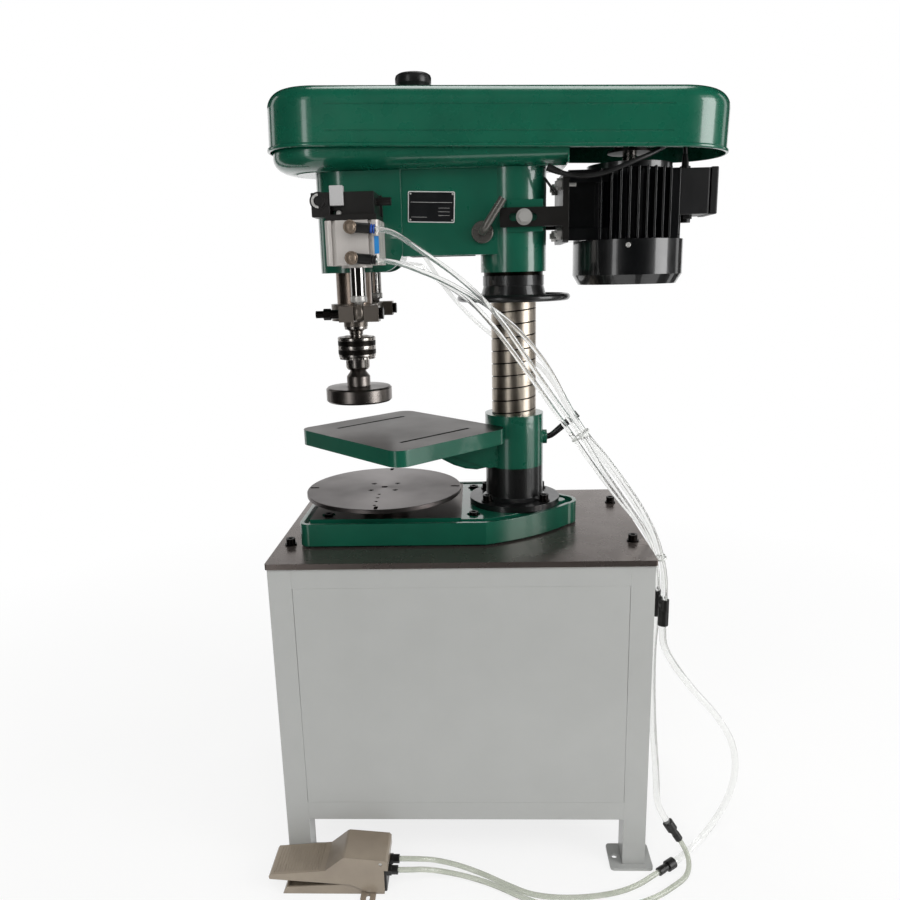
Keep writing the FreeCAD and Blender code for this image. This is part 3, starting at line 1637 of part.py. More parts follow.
def port_fittings():
    """Swivel elbows: a round banjo on the cylinder face, an elbow body to the right."""
    shapes = []
    for side, z in port_spots():
        face = side * cylinder_face
        out = side * (cylinder_face + port_stand)
        banjo = rod(V(cylinder_x, face, z), V(cylinder_x, out, z), port_radius)
        edges = [e for e in banjo.Edges if all(abs(v.Y - out) < 1e-6 for v in e.Vertexes)]
        banjo = banjo.makeChamfer(1.5, edges)
        middle = V(cylinder_x, side * (cylinder_face + elbow_radius + seat_gap), z)
        elbow = rod(middle, middle + V(port_radius + elbow_length, 0, -elbow_drop), elbow_radius)
        shapes.append(banjo.fuse(elbow).removeSplitter())
        shapes.append(port_collet(side, z))
    return group(shapes)


def elbow_direction():
    return V(port_radius + elbow_length, 0, -elbow_drop).normalize()


def collet_start(side, z):
    y = side * (cylinder_face + elbow_radius + seat_gap)
    return V(cylinder_x + port_radius + elbow_length, y, z - elbow_drop)


def port_collet(side, z):
    start = collet_start(side, z)
    return rod(start, start + elbow_direction() * collet_length, collet_radius)


def hose_start(side, z):
    """A hose leaves its collet in line with it."""
    point = collet_start(side, z) + elbow_direction() * collet_length
    onward = point + elbow_direction() * hose_straight
    return [(point.x, point.y, point.z), (onward.x, onward.y, onward.z)]


# Foot valve

def pedal_base():
    outer = side_prism(pedal_base_outline, pedal_base_near, pedal_base_far)
    inner = box(
        pedal_base_outline[0][0] + 3 * pedal_wall, pedal_base_outline[1][0] + pedal_wall,
        pedal_base_near + pedal_wall, pedal_base_far - pedal_wall, pedal_wall, 2 * pedal_pin_z
    )
    body = outer.cut(inner)
    left, right = pedal_tab_x - pedal_tab_half, pedal_tab_x + pedal_tab_half
    reach = pedal_base_near - pedal_tab_reach
    tab = round_box(left, right, reach, pedal_base_near + 1, 0, pedal_tab_thickness, pedal_tab_corner)
    root = box(left, right, reach + pedal_tab_reach / 2, pedal_base_near + 1, 0, pedal_tab_thickness)
    body = body.fuse([tab, root])
    hole_y = reach + pedal_slot_length / 2 + pedal_wall
    body = body.cut(slot(
        pedal_tab_x, hole_y, -1, pedal_tab_thickness + 1, pedal_slot_length, pedal_slot_width, 90
    ))
    pin = rod(
        V(pedal_pin_x, pedal_near, pedal_pin_z), V(pedal_pin_x, pedal_far, pedal_pin_z),
        pedal_pin_radius + running_gap
    )
    return body.cut(pin).removeSplitter()


def pedal_treadle():
    body = side_prism(treadle_outline, pedal_near, pedal_far)
    body = body.cut(side_prism(treadle_hollow, pedal_near + pedal_skirt, pedal_far - pedal_skirt))
    ribs = []
    (toe_x, toe_z), (heel_x, heel_z) = treadle_outline[2:4]
    slope = (heel_z - toe_z) / (heel_x - toe_x)
    for i in range(pedal_rib_count):
        x = pedal_rib_left + pedal_rib_pitch * i
        z = toe_z + slope * (x - toe_x)
        ribs.append(box(
            x - pedal_rib_width / 2, x + pedal_rib_width / 2, pedal_near + pedal_rib_inset,
            pedal_far - pedal_rib_inset, z - 1, z + pedal_rib_height
        ))
    body = body.fuse(ribs)
    hole = rod(
        V(pedal_pin_x, pedal_near - 1, pedal_pin_z), V(pedal_pin_x, pedal_far + 1, pedal_pin_z),
        pedal_pin_radius + running_gap
    )
    return body.cut(hole).removeSplitter()


def pedal_pin():
    return rod(
        V(pedal_pin_x, pedal_near + 1, pedal_pin_z), V(pedal_pin_x, pedal_far - 1, pedal_pin_z), pedal_pin_radius
    )


def foot_port_spots():
    return (foot_port_near, foot_port_far)


def foot_fitting_end(y):
    return (valve_right + foot_nut_length + foot_collet_length, y, foot_port_z)


def foot_hose_end(y):
    x, y, z = foot_fitting_end(y)
    return [(x + hose_straight, y, z), (x, y, z)]


def pedal_valve():
    """Valve block with the two push-in fittings at its end."""
    block = round_box(
        valve_left, valve_right, pedal_base_near + pedal_wall + valve_gap, pedal_base_far - pedal_wall - valve_gap,
        pedal_wall, valve_high, 2
    )
    shapes = [block]
    for y in foot_port_spots():
        nut = hexagon(V(valve_right, y, foot_port_z), V(1, 0, 0), foot_nut_radius, foot_nut_length)
        collar = rod(V(valve_right, y, foot_port_z), V(*foot_fitting_end(y)), foot_collet_radius)
        shapes.append(nut.fuse(collar).removeSplitter())
    return group(shapes)


# Hoses and the motor lead

def route(points):
    """Straight runs joined by tangent arcs, each arc as large as its two runs allow."""
    spots = [V(*p) for p in points]
    edges = []
    radii = []
    here = spots[0]
    for before, corner, after in zip(spots, spots[1:], spots[2:]):
        run_in = corner - before
        run_out = after - corner
        turn = run_in.getAngle(run_out)
        cut = 0.45 * min(run_in.Length, run_out.Length)
        radius = cut / math.tan(turn / 2)
        start = corner - run_in.normalize() * cut
        end = corner + run_out.normalize() * cut
        towards = (start + end) * 0.5 - corner
        middle = corner + towards.normalize() * (math.hypot(cut, radius) - radius)
        edges.append(Part.LineSegment(here, start).toShape())
        edges.append(Part.Arc(start, middle, end).toShape())
        radii.append(radius)
        here = end
    edges.append(Part.LineSegment(here, spots[-1]).toShape())
    return Part.Wire(edges), radii


def tube(name, points, diameter):
    path, radii = route(points)
    start = V(*points[0])
    solid = swept(path, start, V(*points[1]) - start, diameter / 2)
    expected = math.pi * diameter * diameter / 4 * path.Length
    print(
        name, "length", round(path.Length), "smallest radius", round(min(radii)), "of",
        round(min(radii) / diameter, 1), "diameters; volume ratio", round(solid.Volume / expected, 4)
    )
    return solid


def union_socket(spot, side):
    """A thin hose drops straight into its socket on top of a Y union."""
    x, y = spot
    y += side * union_twin_spacing / 2
    return [(x, y, union_top + hose_straight), (x, y, union_top)]


def union_foot(spot):
    x, y = spot
    low = union_top - union_twin_length - union_body_length
    return [(x, y, low), (x, y, low - hose_straight)]


def beyond(end, other, straight):
    """Point in line with a reducer, a little way up its hose."""
    run = (V(*end) - V(*other)).normalize()
    point = V(*end) + run * straight
    return (point.x, point.y, point.z)


def raised(points):
    """The routes are drawn for one bench height. Higher up they move with the bench top, and on the floor they stay."""
    lift = bench_height - routes_bench_height
    moved = []
    for x, y, z in points:
        share = (z - routes_floor_reach) / (routes_bench_height - routes_floor_reach)
        moved.append((x, y, z + lift * min(max(share, 0.0), 1.0)))
    return moved


upper_near_route = [
    (-78.5, -158.0, 1107.0), (-52.0, -157.0, 1088.0), (-14.0, -155.0, 1062.0), (26.0, -155.0, 1030.0),
    (68.0, -155.0, 986.0), (103.0, -154.0, 934.0), (139.0, -153.0, 878.0), (175.5, -152.5, 826.0),
    (209.0, -151.0, 780.0), (234.0, -145.0, 737.0), (264.0, -131.0, 694.0), (297.0, -113.0, 645.0),
    (331.0, -102.0, 596.0), (343.0, -112.0, 554.0),
]
lower_near_route = [
    (-78.5, -158.0, 1067.0), (-54.0, -156.0, 1057.0), (-18.0, -151.0, 1042.0), (20.0, -146.0, 1021.0),
    (62.0, -141.0, 994.0), (100.0, -140.0, 962.0), (133.0, -141.0, 924.0), (158.0, -142.0, 886.0),
    (182.0, -143.0, 838.0), (211.0, -143.0, 789.0), (243.0, -147.0, 752.0), (276.0, -155.0, 707.0),
    (306.0, -167.0, 662.0), (329.0, -180.0, 614.0), (340.0, -184.0, 570.0), (345.5, -176.5, 542.0),
]
lower_far_route = [
    (-80.5, 148.0, 1070.0), (-67.5, 130.0, 1067.5), (-62.0, 93.5, 1063.5), (-57.0, 55.0, 1058.0),
    (-46.0, 14.0, 1051.0), (-30.0, -30.0, 1040.0), (-4.0, -74.0, 1026.0), (26.0, -110.0, 1006.0),
    (56.0, -128.0, 974.0), (88.0, -138.0, 932.0), (124.0, -140.0, 880.0), (160.0, -139.0, 828.0),
    (194.0, -137.0, 779.0), (224.0, -129.0, 735.0), (257.0, -114.0, 688.0), (293.0, -97.0, 641.0),
    (332.0, -88.0, 594.0), (343.0, -98.0, 552.0),
]
upper_far_route = [
    (-80.5, 154.0, 1109.0), (-61.5, 146.0, 1080.5), (-38.0, 138.0, 1042.0), (-8.0, 126.0, 1002.0),
    (28.0, 112.0, 964.0), (66.0, 94.0, 932.0), (108.0, 68.0, 906.0), (146.0, 26.0, 886.0),
    (168.0, -30.0, 862.0), (184.0, -80.0, 832.0), (202.0, -114.0, 798.0), (229.0, -132.0, 759.0),
    (260.0, -139.0, 720.0), (291.0, -148.0, 676.0), (319.0, -160.0, 628.0), (338.0, -169.0, 584.0),
    (346.5, -162.0, 542.5),
]
big_loop_route = [
    (353.0, -160.0, 406.0), (373.5, -158.0, 368.5), (412.0, -154.0, 316.0), (456.0, -149.0, 266.0),
    (488.0, -144.0, 210.0), (499.0, -140.0, 154.0), (493.0, -136.0, 98.0), (474.0, -136.0, 49.5),
    (442.0, -151.5, 16.5), (411.0, -176.0, 7.5),
]
leg_hose_route = [
    (343.0, -122.0, 399.5), (341.0, -130.0, 345.0), (341.0, -141.0, 285.0), (343.0, -153.0, 222.0),
    (347.0, -165.0, 161.5), (345.5, -181.0, 118.5),
]
outer_foot_route = [
    (304.5, -254.0, 4.6), (270.0, -271.0, 4.6), (222.0, -282.0, 4.6), (166.0, -286.0, 4.6),
    (112.0, -279.0, 4.6), (70.0, -256.0, 4.6), (28.0, -231.0, 4.6), (-18.0, -215.0, 9.0),
    (-57.5, -219.0, 22.0), (-75.5, -228.0, 31.0),
]
inner_foot_route = [
    (397.6, -200.7, 25.5), (400.0, -210.8, 16.1), (396.8, -224.5, 8.6), (386.4, -239.9, 4.8),
    (366.1, -256.0, 4.6), (329.0, -282.0, 4.6), (275.0, -304.0, 4.6), (215.0, -313.0, 4.6),
    (155.0, -309.0, 4.6), (102.0, -288.5, 4.6), (53.0, -259.0, 4.6), (6.0, -240.0, 5.0), (-38.0, -239.0, 15.0),
    (-73.5, -252.0, 31.5),
]
lead_route = [
    (154.0, -76.0, 1216.5), (171.0, -80.0, 1208.0), (190.0, -85.0, 1202.0), (214.0, -87.0, 1199.5),
    (242.0, -87.0, 1203.0), (269.0, -86.0, 1212.0), (296.0, -84.0, 1223.0), (323.0, -76.0, 1233.0),
    (351.0, -62.0, 1249.5), (365.5, -44.0, 1270.0), (378.0, -24.5, 1274.5), (388.0, -7.5, 1269.0),
    (394.5, 5.0, 1257.0),
]
big_loop_end = (373.0, -209.0, 9.5)
outer_foot_start = (342.0, -231.0, 9.0)
leg_hose_end = (364.7, -190.0, 78.1)
inner_foot_start = (385.6, -194.0, 45.9)


def cylinder_hoses():
    """Four thin hoses, from the cylinders' ports to the two Y unions."""
    runs = [
        ("upper near hose", -1, port_upper_z, upper_near_route, union_inner, -1),
        ("lower near hose", -1, port_lower_z, lower_near_route, union_outer, -1),
        ("lower far hose", 1, port_lower_z, lower_far_route, union_inner, 1),
        ("upper far hose", 1, port_upper_z, upper_far_route, union_outer, 1),
    ]
    shapes = []
    for name, side, z, middle, spot, socket in runs:
        shapes.append(tube(name, hose_start(side, z) + raised(middle) + union_socket(spot, socket), thin_hose))
    return group(shapes)


def supply_hoses():
    """Two thick hoses, from the unions down to the reducers."""
    loop = raised(big_loop_route) + [beyond(big_loop_end, outer_foot_start, hose_straight), big_loop_end]
    drop = raised(leg_hose_route) + [beyond(leg_hose_end, inner_foot_start, hose_straight), leg_hose_end]
    return group([
        tube("big loop", union_foot(union_outer) + loop, thick_hose),
        tube("leg hose", union_foot(union_inner) + drop, thick_hose),
    ])


def pedal_hoses():
    """Two hoses along the floor, from the reducers to the foot valve."""
    outer = [outer_foot_start, beyond(outer_foot_start, big_loop_end, hose_straight)] + outer_foot_route
    inner = [inner_foot_start, beyond(inner_foot_start, leg_hose_end, floor_straight)] + inner_foot_route
    return group([
        tube("outer foot hose", outer + foot_hose_end(foot_port_far), foot_hose),
        tube("inner foot hose", inner + foot_hose_end(foot_port_near), foot_hose),
    ])


def reducer(large_end, small_end):
    start = V(*large_end)
    run = V(*small_end) - start
    axis = V(run).normalize()
    length = run.Length
    large = rod(start, start + axis * length * 0.42, reducer_large_radius)
    waist = rod(start + axis * length * 0.4, start + axis * length * 0.72, reducer_waist_radius)
    small = rod(start + axis * length * 0.7, start + run, reducer_small_radius)
    return large.fuse([waist, small]).removeSplitter()


def y_union(spot):
    x, y = spot
    split = union_top - union_twin_length
    foot = split - union_body_length
    shapes = []
    for side in (-1, 1):
        twin_y = y + side * union_twin_spacing / 2
        shapes.append(post(x, twin_y, split, union_top, union_twin_radius))
    bridge = box(
        x - union_twin_radius, x + union_twin_radius, y - union_twin_spacing / 2, y + union_twin_spacing / 2,
        split - 4, split + 8
    )
    body = post(x, y, foot, split + 2, union_body_radius)
    return body.fuse(shapes + [bridge]).removeSplitter()


def hose_unions():
    """Two Y unions beside the bench and two reducers near the floor."""
    return group([
        y_union(union_outer),
        y_union(union_inner),
        reducer(big_loop_end, outer_foot_start),
        reducer(leg_hose_end, inner_foot_start),
    ])


def motor_lead():
    x = (box_left + box_right) / 2
    top = box_high + lead_gland_height
    end = [(x, lead_gland_y, top + lead_straight), (x, lead_gland_y, top)]
    return tube("motor lead", raised(lead_route) + end, lead_diameter)


NODES = {
    "bench_legs": bench_legs,
    "foot_plates": foot_plates,
    "bench_rails": bench_rails,
    "bench_panels": bench_panels,
    "bench_top": bench_top,
    "cap_screws": cap_screws,
    "base_casting": base_casting,
    "column_flange": column_flange,
    "column": column,
    "locating_disc": locating_disc,
    "disc_spacer": disc_spacer,
    "work_table": work_table,
    "table_bolt": table_bolt,
    "table_bracket": table_bracket,
    "table_clamp_handle": table_clamp_handle,
    "thrust_washer": thrust_washer,
    "lift_nut": lift_nut,
    "head_casting": head_casting,
    "head_clamp_lever": head_clamp_lever,
    "belt_pan": belt_pan,
    "belt_cover": belt_cover,
    "cover_stud": cover_stud,
    "cover_knob": cover_knob,
    "spindle_pulley": spindle_pulley,
    "pulley_bearing": pulley_bearing,
    "v_belt": v_belt,
    "slide_bolts": slide_bolts,
    "motor_pulley": motor_pulley,
    "motor_mount": motor_mount,
    "motor_bolts": motor_bolts,
    "motor_frame": motor_frame,
    "end_shields": end_shields,
    "motor_rotor": motor_rotor,
    "fan_cowl": fan_cowl,
    "motor_fan": motor_fan,
    "terminal_box": terminal_box,
    "terminal_lid": terminal_lid,
    "quill": quill,
    "quill_collar": quill_collar,
    "cross_bolts": cross_bolts,
    "piston_rods": piston_rods,
    "rod_ends": rod_ends,
    "spindle_bearings": spindle_bearings,
    "spindle": spindle,
    "chuck_body": chuck_body,
    "chuck_sleeve": chuck_sleeve,
    "chuck_jaws": chuck_jaws,
    "curling_die": curling_die,
    "air_cylinders": air_cylinders,
    "cylinder_brackets": cylinder_brackets,
    "port_fittings": port_fittings,
    "pedal_base": pedal_base,
    "pedal_treadle": pedal_treadle,
    "pedal_pin": pedal_pin,
    "pedal_valve": pedal_valve,
    "cylinder_hoses": cylinder_hoses,
    "supply_hoses": supply_hoses,
    "pedal_hoses": pedal_hoses,
    "hose_unions": hose_unions,
    "motor_lead": motor_lead,
}


def main():
    os.makedirs("parts", exist_ok=True)
    for name, make in NODES.items():
        shape = make()
        if not shape.isValid():
            print("invalid", name)
        shape.exportStep(f"parts/{name}.step")


main()
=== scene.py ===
import math

import bmesh
import bpy
from mathutils import Matrix, Vector


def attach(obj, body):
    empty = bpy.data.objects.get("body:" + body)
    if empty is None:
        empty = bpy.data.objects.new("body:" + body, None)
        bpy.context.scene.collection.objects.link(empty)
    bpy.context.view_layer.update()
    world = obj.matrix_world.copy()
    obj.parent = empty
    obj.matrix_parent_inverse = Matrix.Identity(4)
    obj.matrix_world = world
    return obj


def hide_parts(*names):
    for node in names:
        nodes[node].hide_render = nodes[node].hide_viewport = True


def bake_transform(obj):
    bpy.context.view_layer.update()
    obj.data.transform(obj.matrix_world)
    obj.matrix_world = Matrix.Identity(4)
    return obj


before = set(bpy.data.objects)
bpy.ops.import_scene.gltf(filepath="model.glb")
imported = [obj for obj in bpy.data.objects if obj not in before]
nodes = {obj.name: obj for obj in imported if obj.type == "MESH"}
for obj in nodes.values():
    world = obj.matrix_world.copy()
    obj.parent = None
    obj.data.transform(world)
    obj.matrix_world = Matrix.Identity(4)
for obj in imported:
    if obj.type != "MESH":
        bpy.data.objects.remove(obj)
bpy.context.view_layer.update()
scene = bpy.context.scene
upright = (0.0, 0.0, 1.0)
same_spot = 1e-6


# Helpers for meshes

def linear(shade):
    """An sRGB hex colour as the linear values that a shader takes."""
    parts = [int(shade[i:i + 2], 16) / 255 for i in (1, 3, 5)]
    return tuple(c / 12.92 if c <= 0.04045 else ((c + 0.055) / 1.055) ** 2.4 for c in parts) + (1.0,)


def make_piece(name, corners, faces, smooth=True):
    """A mesh object with these corners and faces."""
    mesh = bpy.data.meshes.new(name)
    mesh.from_pydata([tuple(corner) for corner in corners], [], faces)
    mesh.update()
    if smooth:
        mesh.polygons.foreach_set("use_smooth", [True] * len(mesh.polygons))
    piece = bpy.data.objects.new(name, mesh)
    scene.collection.objects.link(piece)
    return piece


def face_outwards(piece, flat_faces=False):
    """Joins doubled corners and turns every face to the outside. flat_faces takes out faces of no width."""
    work = bmesh.new()
    work.from_mesh(piece.data)
    bmesh.ops.remove_doubles(work, verts=work.verts, dist=same_spot)
    if flat_faces:
        bmesh.ops.dissolve_degenerate(work, edges=work.edges, dist=same_spot)
    bmesh.ops.recalc_face_normals(work, faces=work.faces)
    work.to_mesh(piece.data)
    work.free()
    return piece


def soften_edges(piece, width, segments=3):
    """Rounds the sharp edges of a piece."""
    bevel = piece.modifiers.new("rounded_edges", "BEVEL")
    bevel.width = width
    bevel.segments = segments
    bevel.limit_method = "ANGLE"
    bevel.angle_limit = math.radians(35)
    bevel.harden_normals = False


def loft(name, loops, closed=True, endless=False, capped=True, smooth=True):
    """A skin over loops of corners that follow one another. closed joins the ends of each loop, endless joins
    the last loop to the first, and capped fills the first and the last."""
    size = len(loops[0])
    count = len(loops)
    faces = []
    for row in range(count if endless else count - 1):
        low, high = row * size, (row + 1) % count * size
        for i in range(size if closed else size - 1):
            after = (i + 1) % size
            faces.append((low + i, low + after, high + after, high + i))
    if capped:
        faces += [tuple(reversed(range(size))), tuple(range((count - 1) * size, count * size))]
    return make_piece(name, [corner for loop in loops for corner in loop], faces, smooth)


def around(steps):
    """The cosines and sines of equal steps round a circle."""
    return [(math.cos(math.tau * step / steps), math.sin(math.tau * step / steps)) for step in range(steps)]


def turned(name, profile, place, axis=upright, steps=48):
    """A piece turned on a lathe: profile points are distance along the axis and radius."""
    piece = loft(
        name, [[(radius * x, radius * y, along) for x, y in around(steps)] for along, radius in profile]
    )
    turn = Vector(axis).to_track_quat("Z", "Y").to_matrix().to_4x4()
    piece.data.transform(Matrix.Translation(Vector(place)) @ turn)
    return face_outwards(piece)


def rounded_outline(width, height, corner, steps=6):
    """The outline of a rounded rectangle about its centre."""
    points = []
    for quarter, (side, level) in enumerate(((1, 1), (-1, 1), (-1, -1), (1, -1))):
        middle_x, middle_y = side * (width / 2 - corner), level * (height / 2 - corner)
        for step in range(steps + 1):
            angle = math.radians(90 * quarter + 90 * step / steps)
            points.append((middle_x + corner * math.cos(angle), middle_y + corner * math.sin(angle)))
    return points


def slab(name, outline, low, high, matrix):
    """A flat piece with this outline between two heights, put in place by a matrix."""
    piece = loft(name, [[(x, y, z) for x, y in outline] for z in (low, high)], smooth=False)
    piece.data.transform(matrix)
    return face_outwards(piece)


def standing(place, turn=0.0, lean=0.0):
    """A matrix that stands a flat piece upright at a place, facing the front before its turn in degrees."""
    return (
        Matrix.Translation(Vector(place)) @ Matrix.Rotation(math.radians(turn), 4, "Z")
        @ Matrix.Rotation(math.radians(lean), 4, "Y") @ Matrix.Rotation(math.radians(90), 4, "X")
    )


def dress(piece, material, body, stands_for=None, edge=0.0, segments=3):
    """Gives a piece its finish, the body that carries it, the node it stands for and soft edges."""
    if edge:
        soften_edges(piece, edge, segments)
    piece.data.materials.clear()
    piece.data.materials.append(material)
    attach(piece, body)
    if stands_for:
        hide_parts(stands_for)
    return piece


# Camera at the viewing angle of the photograph

lens = 30.3724
sensor_width = 36.0
camera_place = (0.03385, -1.38586, 1.04995)
camera_yaw = -0.0381
camera_pitch = 0.2269
camera_roll = 0.0244


def place_camera():
    """The camera looks slightly down at the machine from a little right of its middle."""
    ahead = Vector((
        math.sin(camera_yaw) * math.cos(camera_pitch),
        math.cos(camera_yaw) * math.cos(camera_pitch),
        -math.sin(camera_pitch),
    ))
    level = Vector((math.cos(camera_yaw), -math.sin(camera_yaw), 0.0))
    down = ahead.cross(level)
    right = math.cos(camera_roll) * level + math.sin(camera_roll) * down
    up = math.sin(camera_roll) * level - math.cos(camera_roll) * down
    data = bpy.data.cameras.new("camera")
    data.sensor_width = sensor_width
    data.lens = lens
    data.clip_start = 0.05
    data.clip_end = 60.0
    camera = bpy.data.objects.new("camera", data)
    turn = Matrix((right, up, -ahead)).transposed().to_4x4()
    camera.matrix_world = Matrix.Translation(Vector(camera_place)) @ turn
    scene.collection.objects.link(camera)
    scene.camera = camera


place_camera()


# Cords: control points in metres

thin_hose = 0.008
thick_hose = 0.012
foot_hose = 0.009
lead_width = 0.008

upper_near_line = [
    (-0.1217, -0.1583, 1.1222), (-0.0998, -0.1583, 1.12), (-0.0785, -0.158, 1.107),
    (-0.052, -0.157, 1.088), (-0.014, -0.155, 1.062), (0.026, -0.155, 1.03), (0.068, -0.155, 0.986),
    (0.103, -0.154, 0.934), (0.139, -0.153, 0.878), (0.1755, -0.1525, 0.826), (0.209, -0.151, 0.78),
    (0.234, -0.145, 0.737), (0.264, -0.131, 0.694), (0.297, -0.113, 0.645), (0.331, -0.102, 0.596),
    (0.343, -0.112, 0.554), (0.346, -0.1275, 0.522), (0.346, -0.1275, 0.5),
]
lower_near_line = [
    (-0.1217, -0.1583, 1.0752), (-0.0998, -0.1583, 1.073), (-0.0785, -0.158, 1.067),
    (-0.054, -0.156, 1.057), (-0.018, -0.151, 1.042), (0.02, -0.146, 1.021), (0.062, -0.141, 0.994),
    (0.1, -0.14, 0.962), (0.133, -0.141, 0.924), (0.158, -0.142, 0.886), (0.182, -0.143, 0.838),
    (0.211, -0.143, 0.789), (0.243, -0.147, 0.752), (0.276, -0.155, 0.707), (0.306, -0.167, 0.662),
    (0.329, -0.18, 0.614), (0.34, -0.184, 0.57), (0.3455, -0.1765, 0.542), (0.349, -0.1675, 0.522),
    (0.349, -0.1675, 0.5),
]
lower_far_line = [
    (-0.1217, 0.1583, 1.0752), (-0.0998, 0.1583, 1.073), (-0.0805, 0.148, 1.07), (-0.0675, 0.13, 1.0675),
    (-0.062, 0.0935, 1.0635), (-0.057, 0.055, 1.058), (-0.046, 0.014, 1.051), (-0.03, -0.03, 1.04),
    (-0.004, -0.074, 1.026), (0.026, -0.11, 1.006), (0.056, -0.128, 0.974), (0.088, -0.138, 0.932),
    (0.124, -0.14, 0.88), (0.16, -0.139, 0.828), (0.194, -0.137, 0.779), (0.224, -0.129, 0.735),
    (0.257, -0.114, 0.688), (0.293, -0.097, 0.641), (0.332, -0.088, 0.594), (0.343, -0.098, 0.552),
    (0.346, -0.1125, 0.522), (0.346, -0.1125, 0.5),
]
upper_far_line = [
    (-0.1217, 0.1583, 1.1222), (-0.0998, 0.1583, 1.12), (-0.0805, 0.154, 1.109), (-0.0615, 0.146, 1.0805),
    (-0.038, 0.138, 1.042), (-0.008, 0.126, 1.002), (0.028, 0.112, 0.964), (0.066, 0.094, 0.932),
    (0.108, 0.068, 0.906), (0.146, 0.026, 0.886), (0.168, -0.03, 0.862), (0.184, -0.08, 0.832),
    (0.202, -0.114, 0.798), (0.229, -0.132, 0.759), (0.26, -0.139, 0.72), (0.291, -0.148, 0.676),
    (0.319, -0.16, 0.628), (0.338, -0.169, 0.584), (0.3465, -0.162, 0.5425), (0.349, -0.1525, 0.522),
    (0.349, -0.1525, 0.5),
]
big_loop_line = [
    (0.349, -0.16, 0.45), (0.349, -0.16, 0.428), (0.353, -0.16, 0.406), (0.3735, -0.158, 0.3685),
    (0.412, -0.154, 0.316), (0.456, -0.149, 0.266), (0.488, -0.144, 0.21), (0.499, -0.14, 0.154),
    (0.493, -0.136, 0.098), (0.474, -0.136, 0.0495), (0.442, -0.1515, 0.0165), (0.411, -0.176, 0.0075),
    (0.3909, -0.1963, 0.0098), (0.373, -0.209, 0.0095),
]
leg_line = [
    (0.346, -0.12, 0.45), (0.346, -0.12, 0.428), (0.343, -0.122, 0.3995), (0.341, -0.13, 0.345),
    (0.341, -0.141, 0.285), (0.343, -0.153, 0.222), (0.347, -0.165, 0.1615), (0.3455, -0.181, 0.1185),
    (0.3528, -0.1877, 0.0965), (0.3647, -0.19, 0.0781),
]
outer_foot_line = [
    (0.342, -0.231, 0.009), (0.3241, -0.2437, 0.0087), (0.3045, -0.254, 0.0046), (0.27, -0.271, 0.0046),
    (0.222, -0.282, 0.0046), (0.166, -0.286, 0.0046), (0.112, -0.279, 0.0046), (0.07, -0.256, 0.0046),
    (0.028, -0.231, 0.0046), (-0.018, -0.215, 0.009), (-0.0575, -0.219, 0.022), (-0.0755, -0.228, 0.031),
    (-0.096, -0.234, 0.037), (-0.118, -0.234, 0.037),
]
inner_foot_line = [
    (0.3856, -0.194, 0.0459), (0.3921, -0.1952, 0.0359), (0.3976, -0.2007, 0.0255), (0.4, -0.2108, 0.0161),
    (0.3968, -0.2245, 0.0086), (0.3864, -0.2399, 0.0048), (0.3661, -0.256, 0.0046),
    (0.329, -0.282, 0.0046), (0.275, -0.304, 0.0046), (0.215, -0.313, 0.0046), (0.155, -0.309, 0.0046),
    (0.102, -0.2885, 0.0046), (0.053, -0.259, 0.0046), (0.006, -0.24, 0.005), (-0.038, -0.239, 0.015),
    (-0.0735, -0.252, 0.0315), (-0.096, -0.26, 0.037), (-0.118, -0.26, 0.037),
]
lead_line = [
    (0.154, -0.076, 1.2165), (0.171, -0.08, 1.208), (0.19, -0.085, 1.202), (0.214, -0.087, 1.1995),
    (0.242, -0.087, 1.203), (0.269, -0.086, 1.212), (0.296, -0.084, 1.223), (0.323, -0.076, 1.233),
    (0.351, -0.062, 1.2495), (0.3655, -0.044, 1.27), (0.378, -0.0245, 1.2745), (0.388, -0.0075, 1.269),
    (0.3945, 0.005, 1.257), (0.398, 0.012, 1.24), (0.398, 0.012, 1.222),
]


def centre_line(name, line):
    """The smooth line through a cord's control points, as the points that its tube follows."""
    data = bpy.data.curves.new(name, "CURVE")
    data.dimensions = "3D"
    data.resolution_u = 12
    spline = data.splines.new("NURBS")
    spline.points.add(len(line) - 1)
    for point, place in zip(spline.points, line):
        point.co = (*place, 1.0)
    spline.order_u = 3
    spline.use_endpoint_u = True
    guide = bpy.data.objects.new(name, data)
    scene.collection.objects.link(guide)
    bpy.context.view_layer.update()
    mesh = bpy.data.meshes.new_from_object(guide)
    points = [vertex.co.copy() for vertex in mesh.vertices]
    bpy.data.meshes.remove(mesh)
    bpy.data.objects.remove(guide)
    bpy.data.curves.remove(data)
    return points


def tube_mesh(name, points, diameter, steps=20, thickness=None):
    """A tube along a line. thickness gives a width factor for each point."""
    loops = []
    side = None
    for i, point in enumerate(points):
        along = (points[min(i + 1, len(points) - 1)] - points[max(i - 1, 0)]).normalized()
        if side is None:
            side = along.orthogonal().normalized()
        side = (side - along * side.dot(along)).normalized()
        other = along.cross(side)
        wide = diameter / 2 * (thickness[i] if thickness else 1.0)
        loops.append([point + wide * (x * side + y * other) for x, y in around(steps)])
    return loft(name, loops)


def nearest(points, height):
    """The index of the point of a falling hose that is nearest to a height."""
    return min(range(len(points)), key=lambda i: abs(points[i].z - height))


# Helpers for finishes

def every(millimetres):
    """The texture scale at which a pattern repeats about once in this many millimetres."""
    return 1000.0 / millimetres


def set_sockets(material, node, sockets):
    """Sets each socket to a value, or links another node's output to it. A node means its first output."""
    for socket, value in sockets.items():
        if isinstance(value, bpy.types.Node):
            value = value.outputs[0]
        if isinstance(value, bpy.types.NodeSocket):
            material.node_tree.links.new(value, node.inputs[socket])
        else:
            node.inputs[socket].default_value = value


def add(material, kind, sockets, **settings):
    """Adds a node with its settings and links."""
    node = material.node_tree.nodes.new("ShaderNode" + kind)
    for setting, value in settings.items():
        setattr(node, setting, value)
    set_sockets(material, node, sockets)
    return node


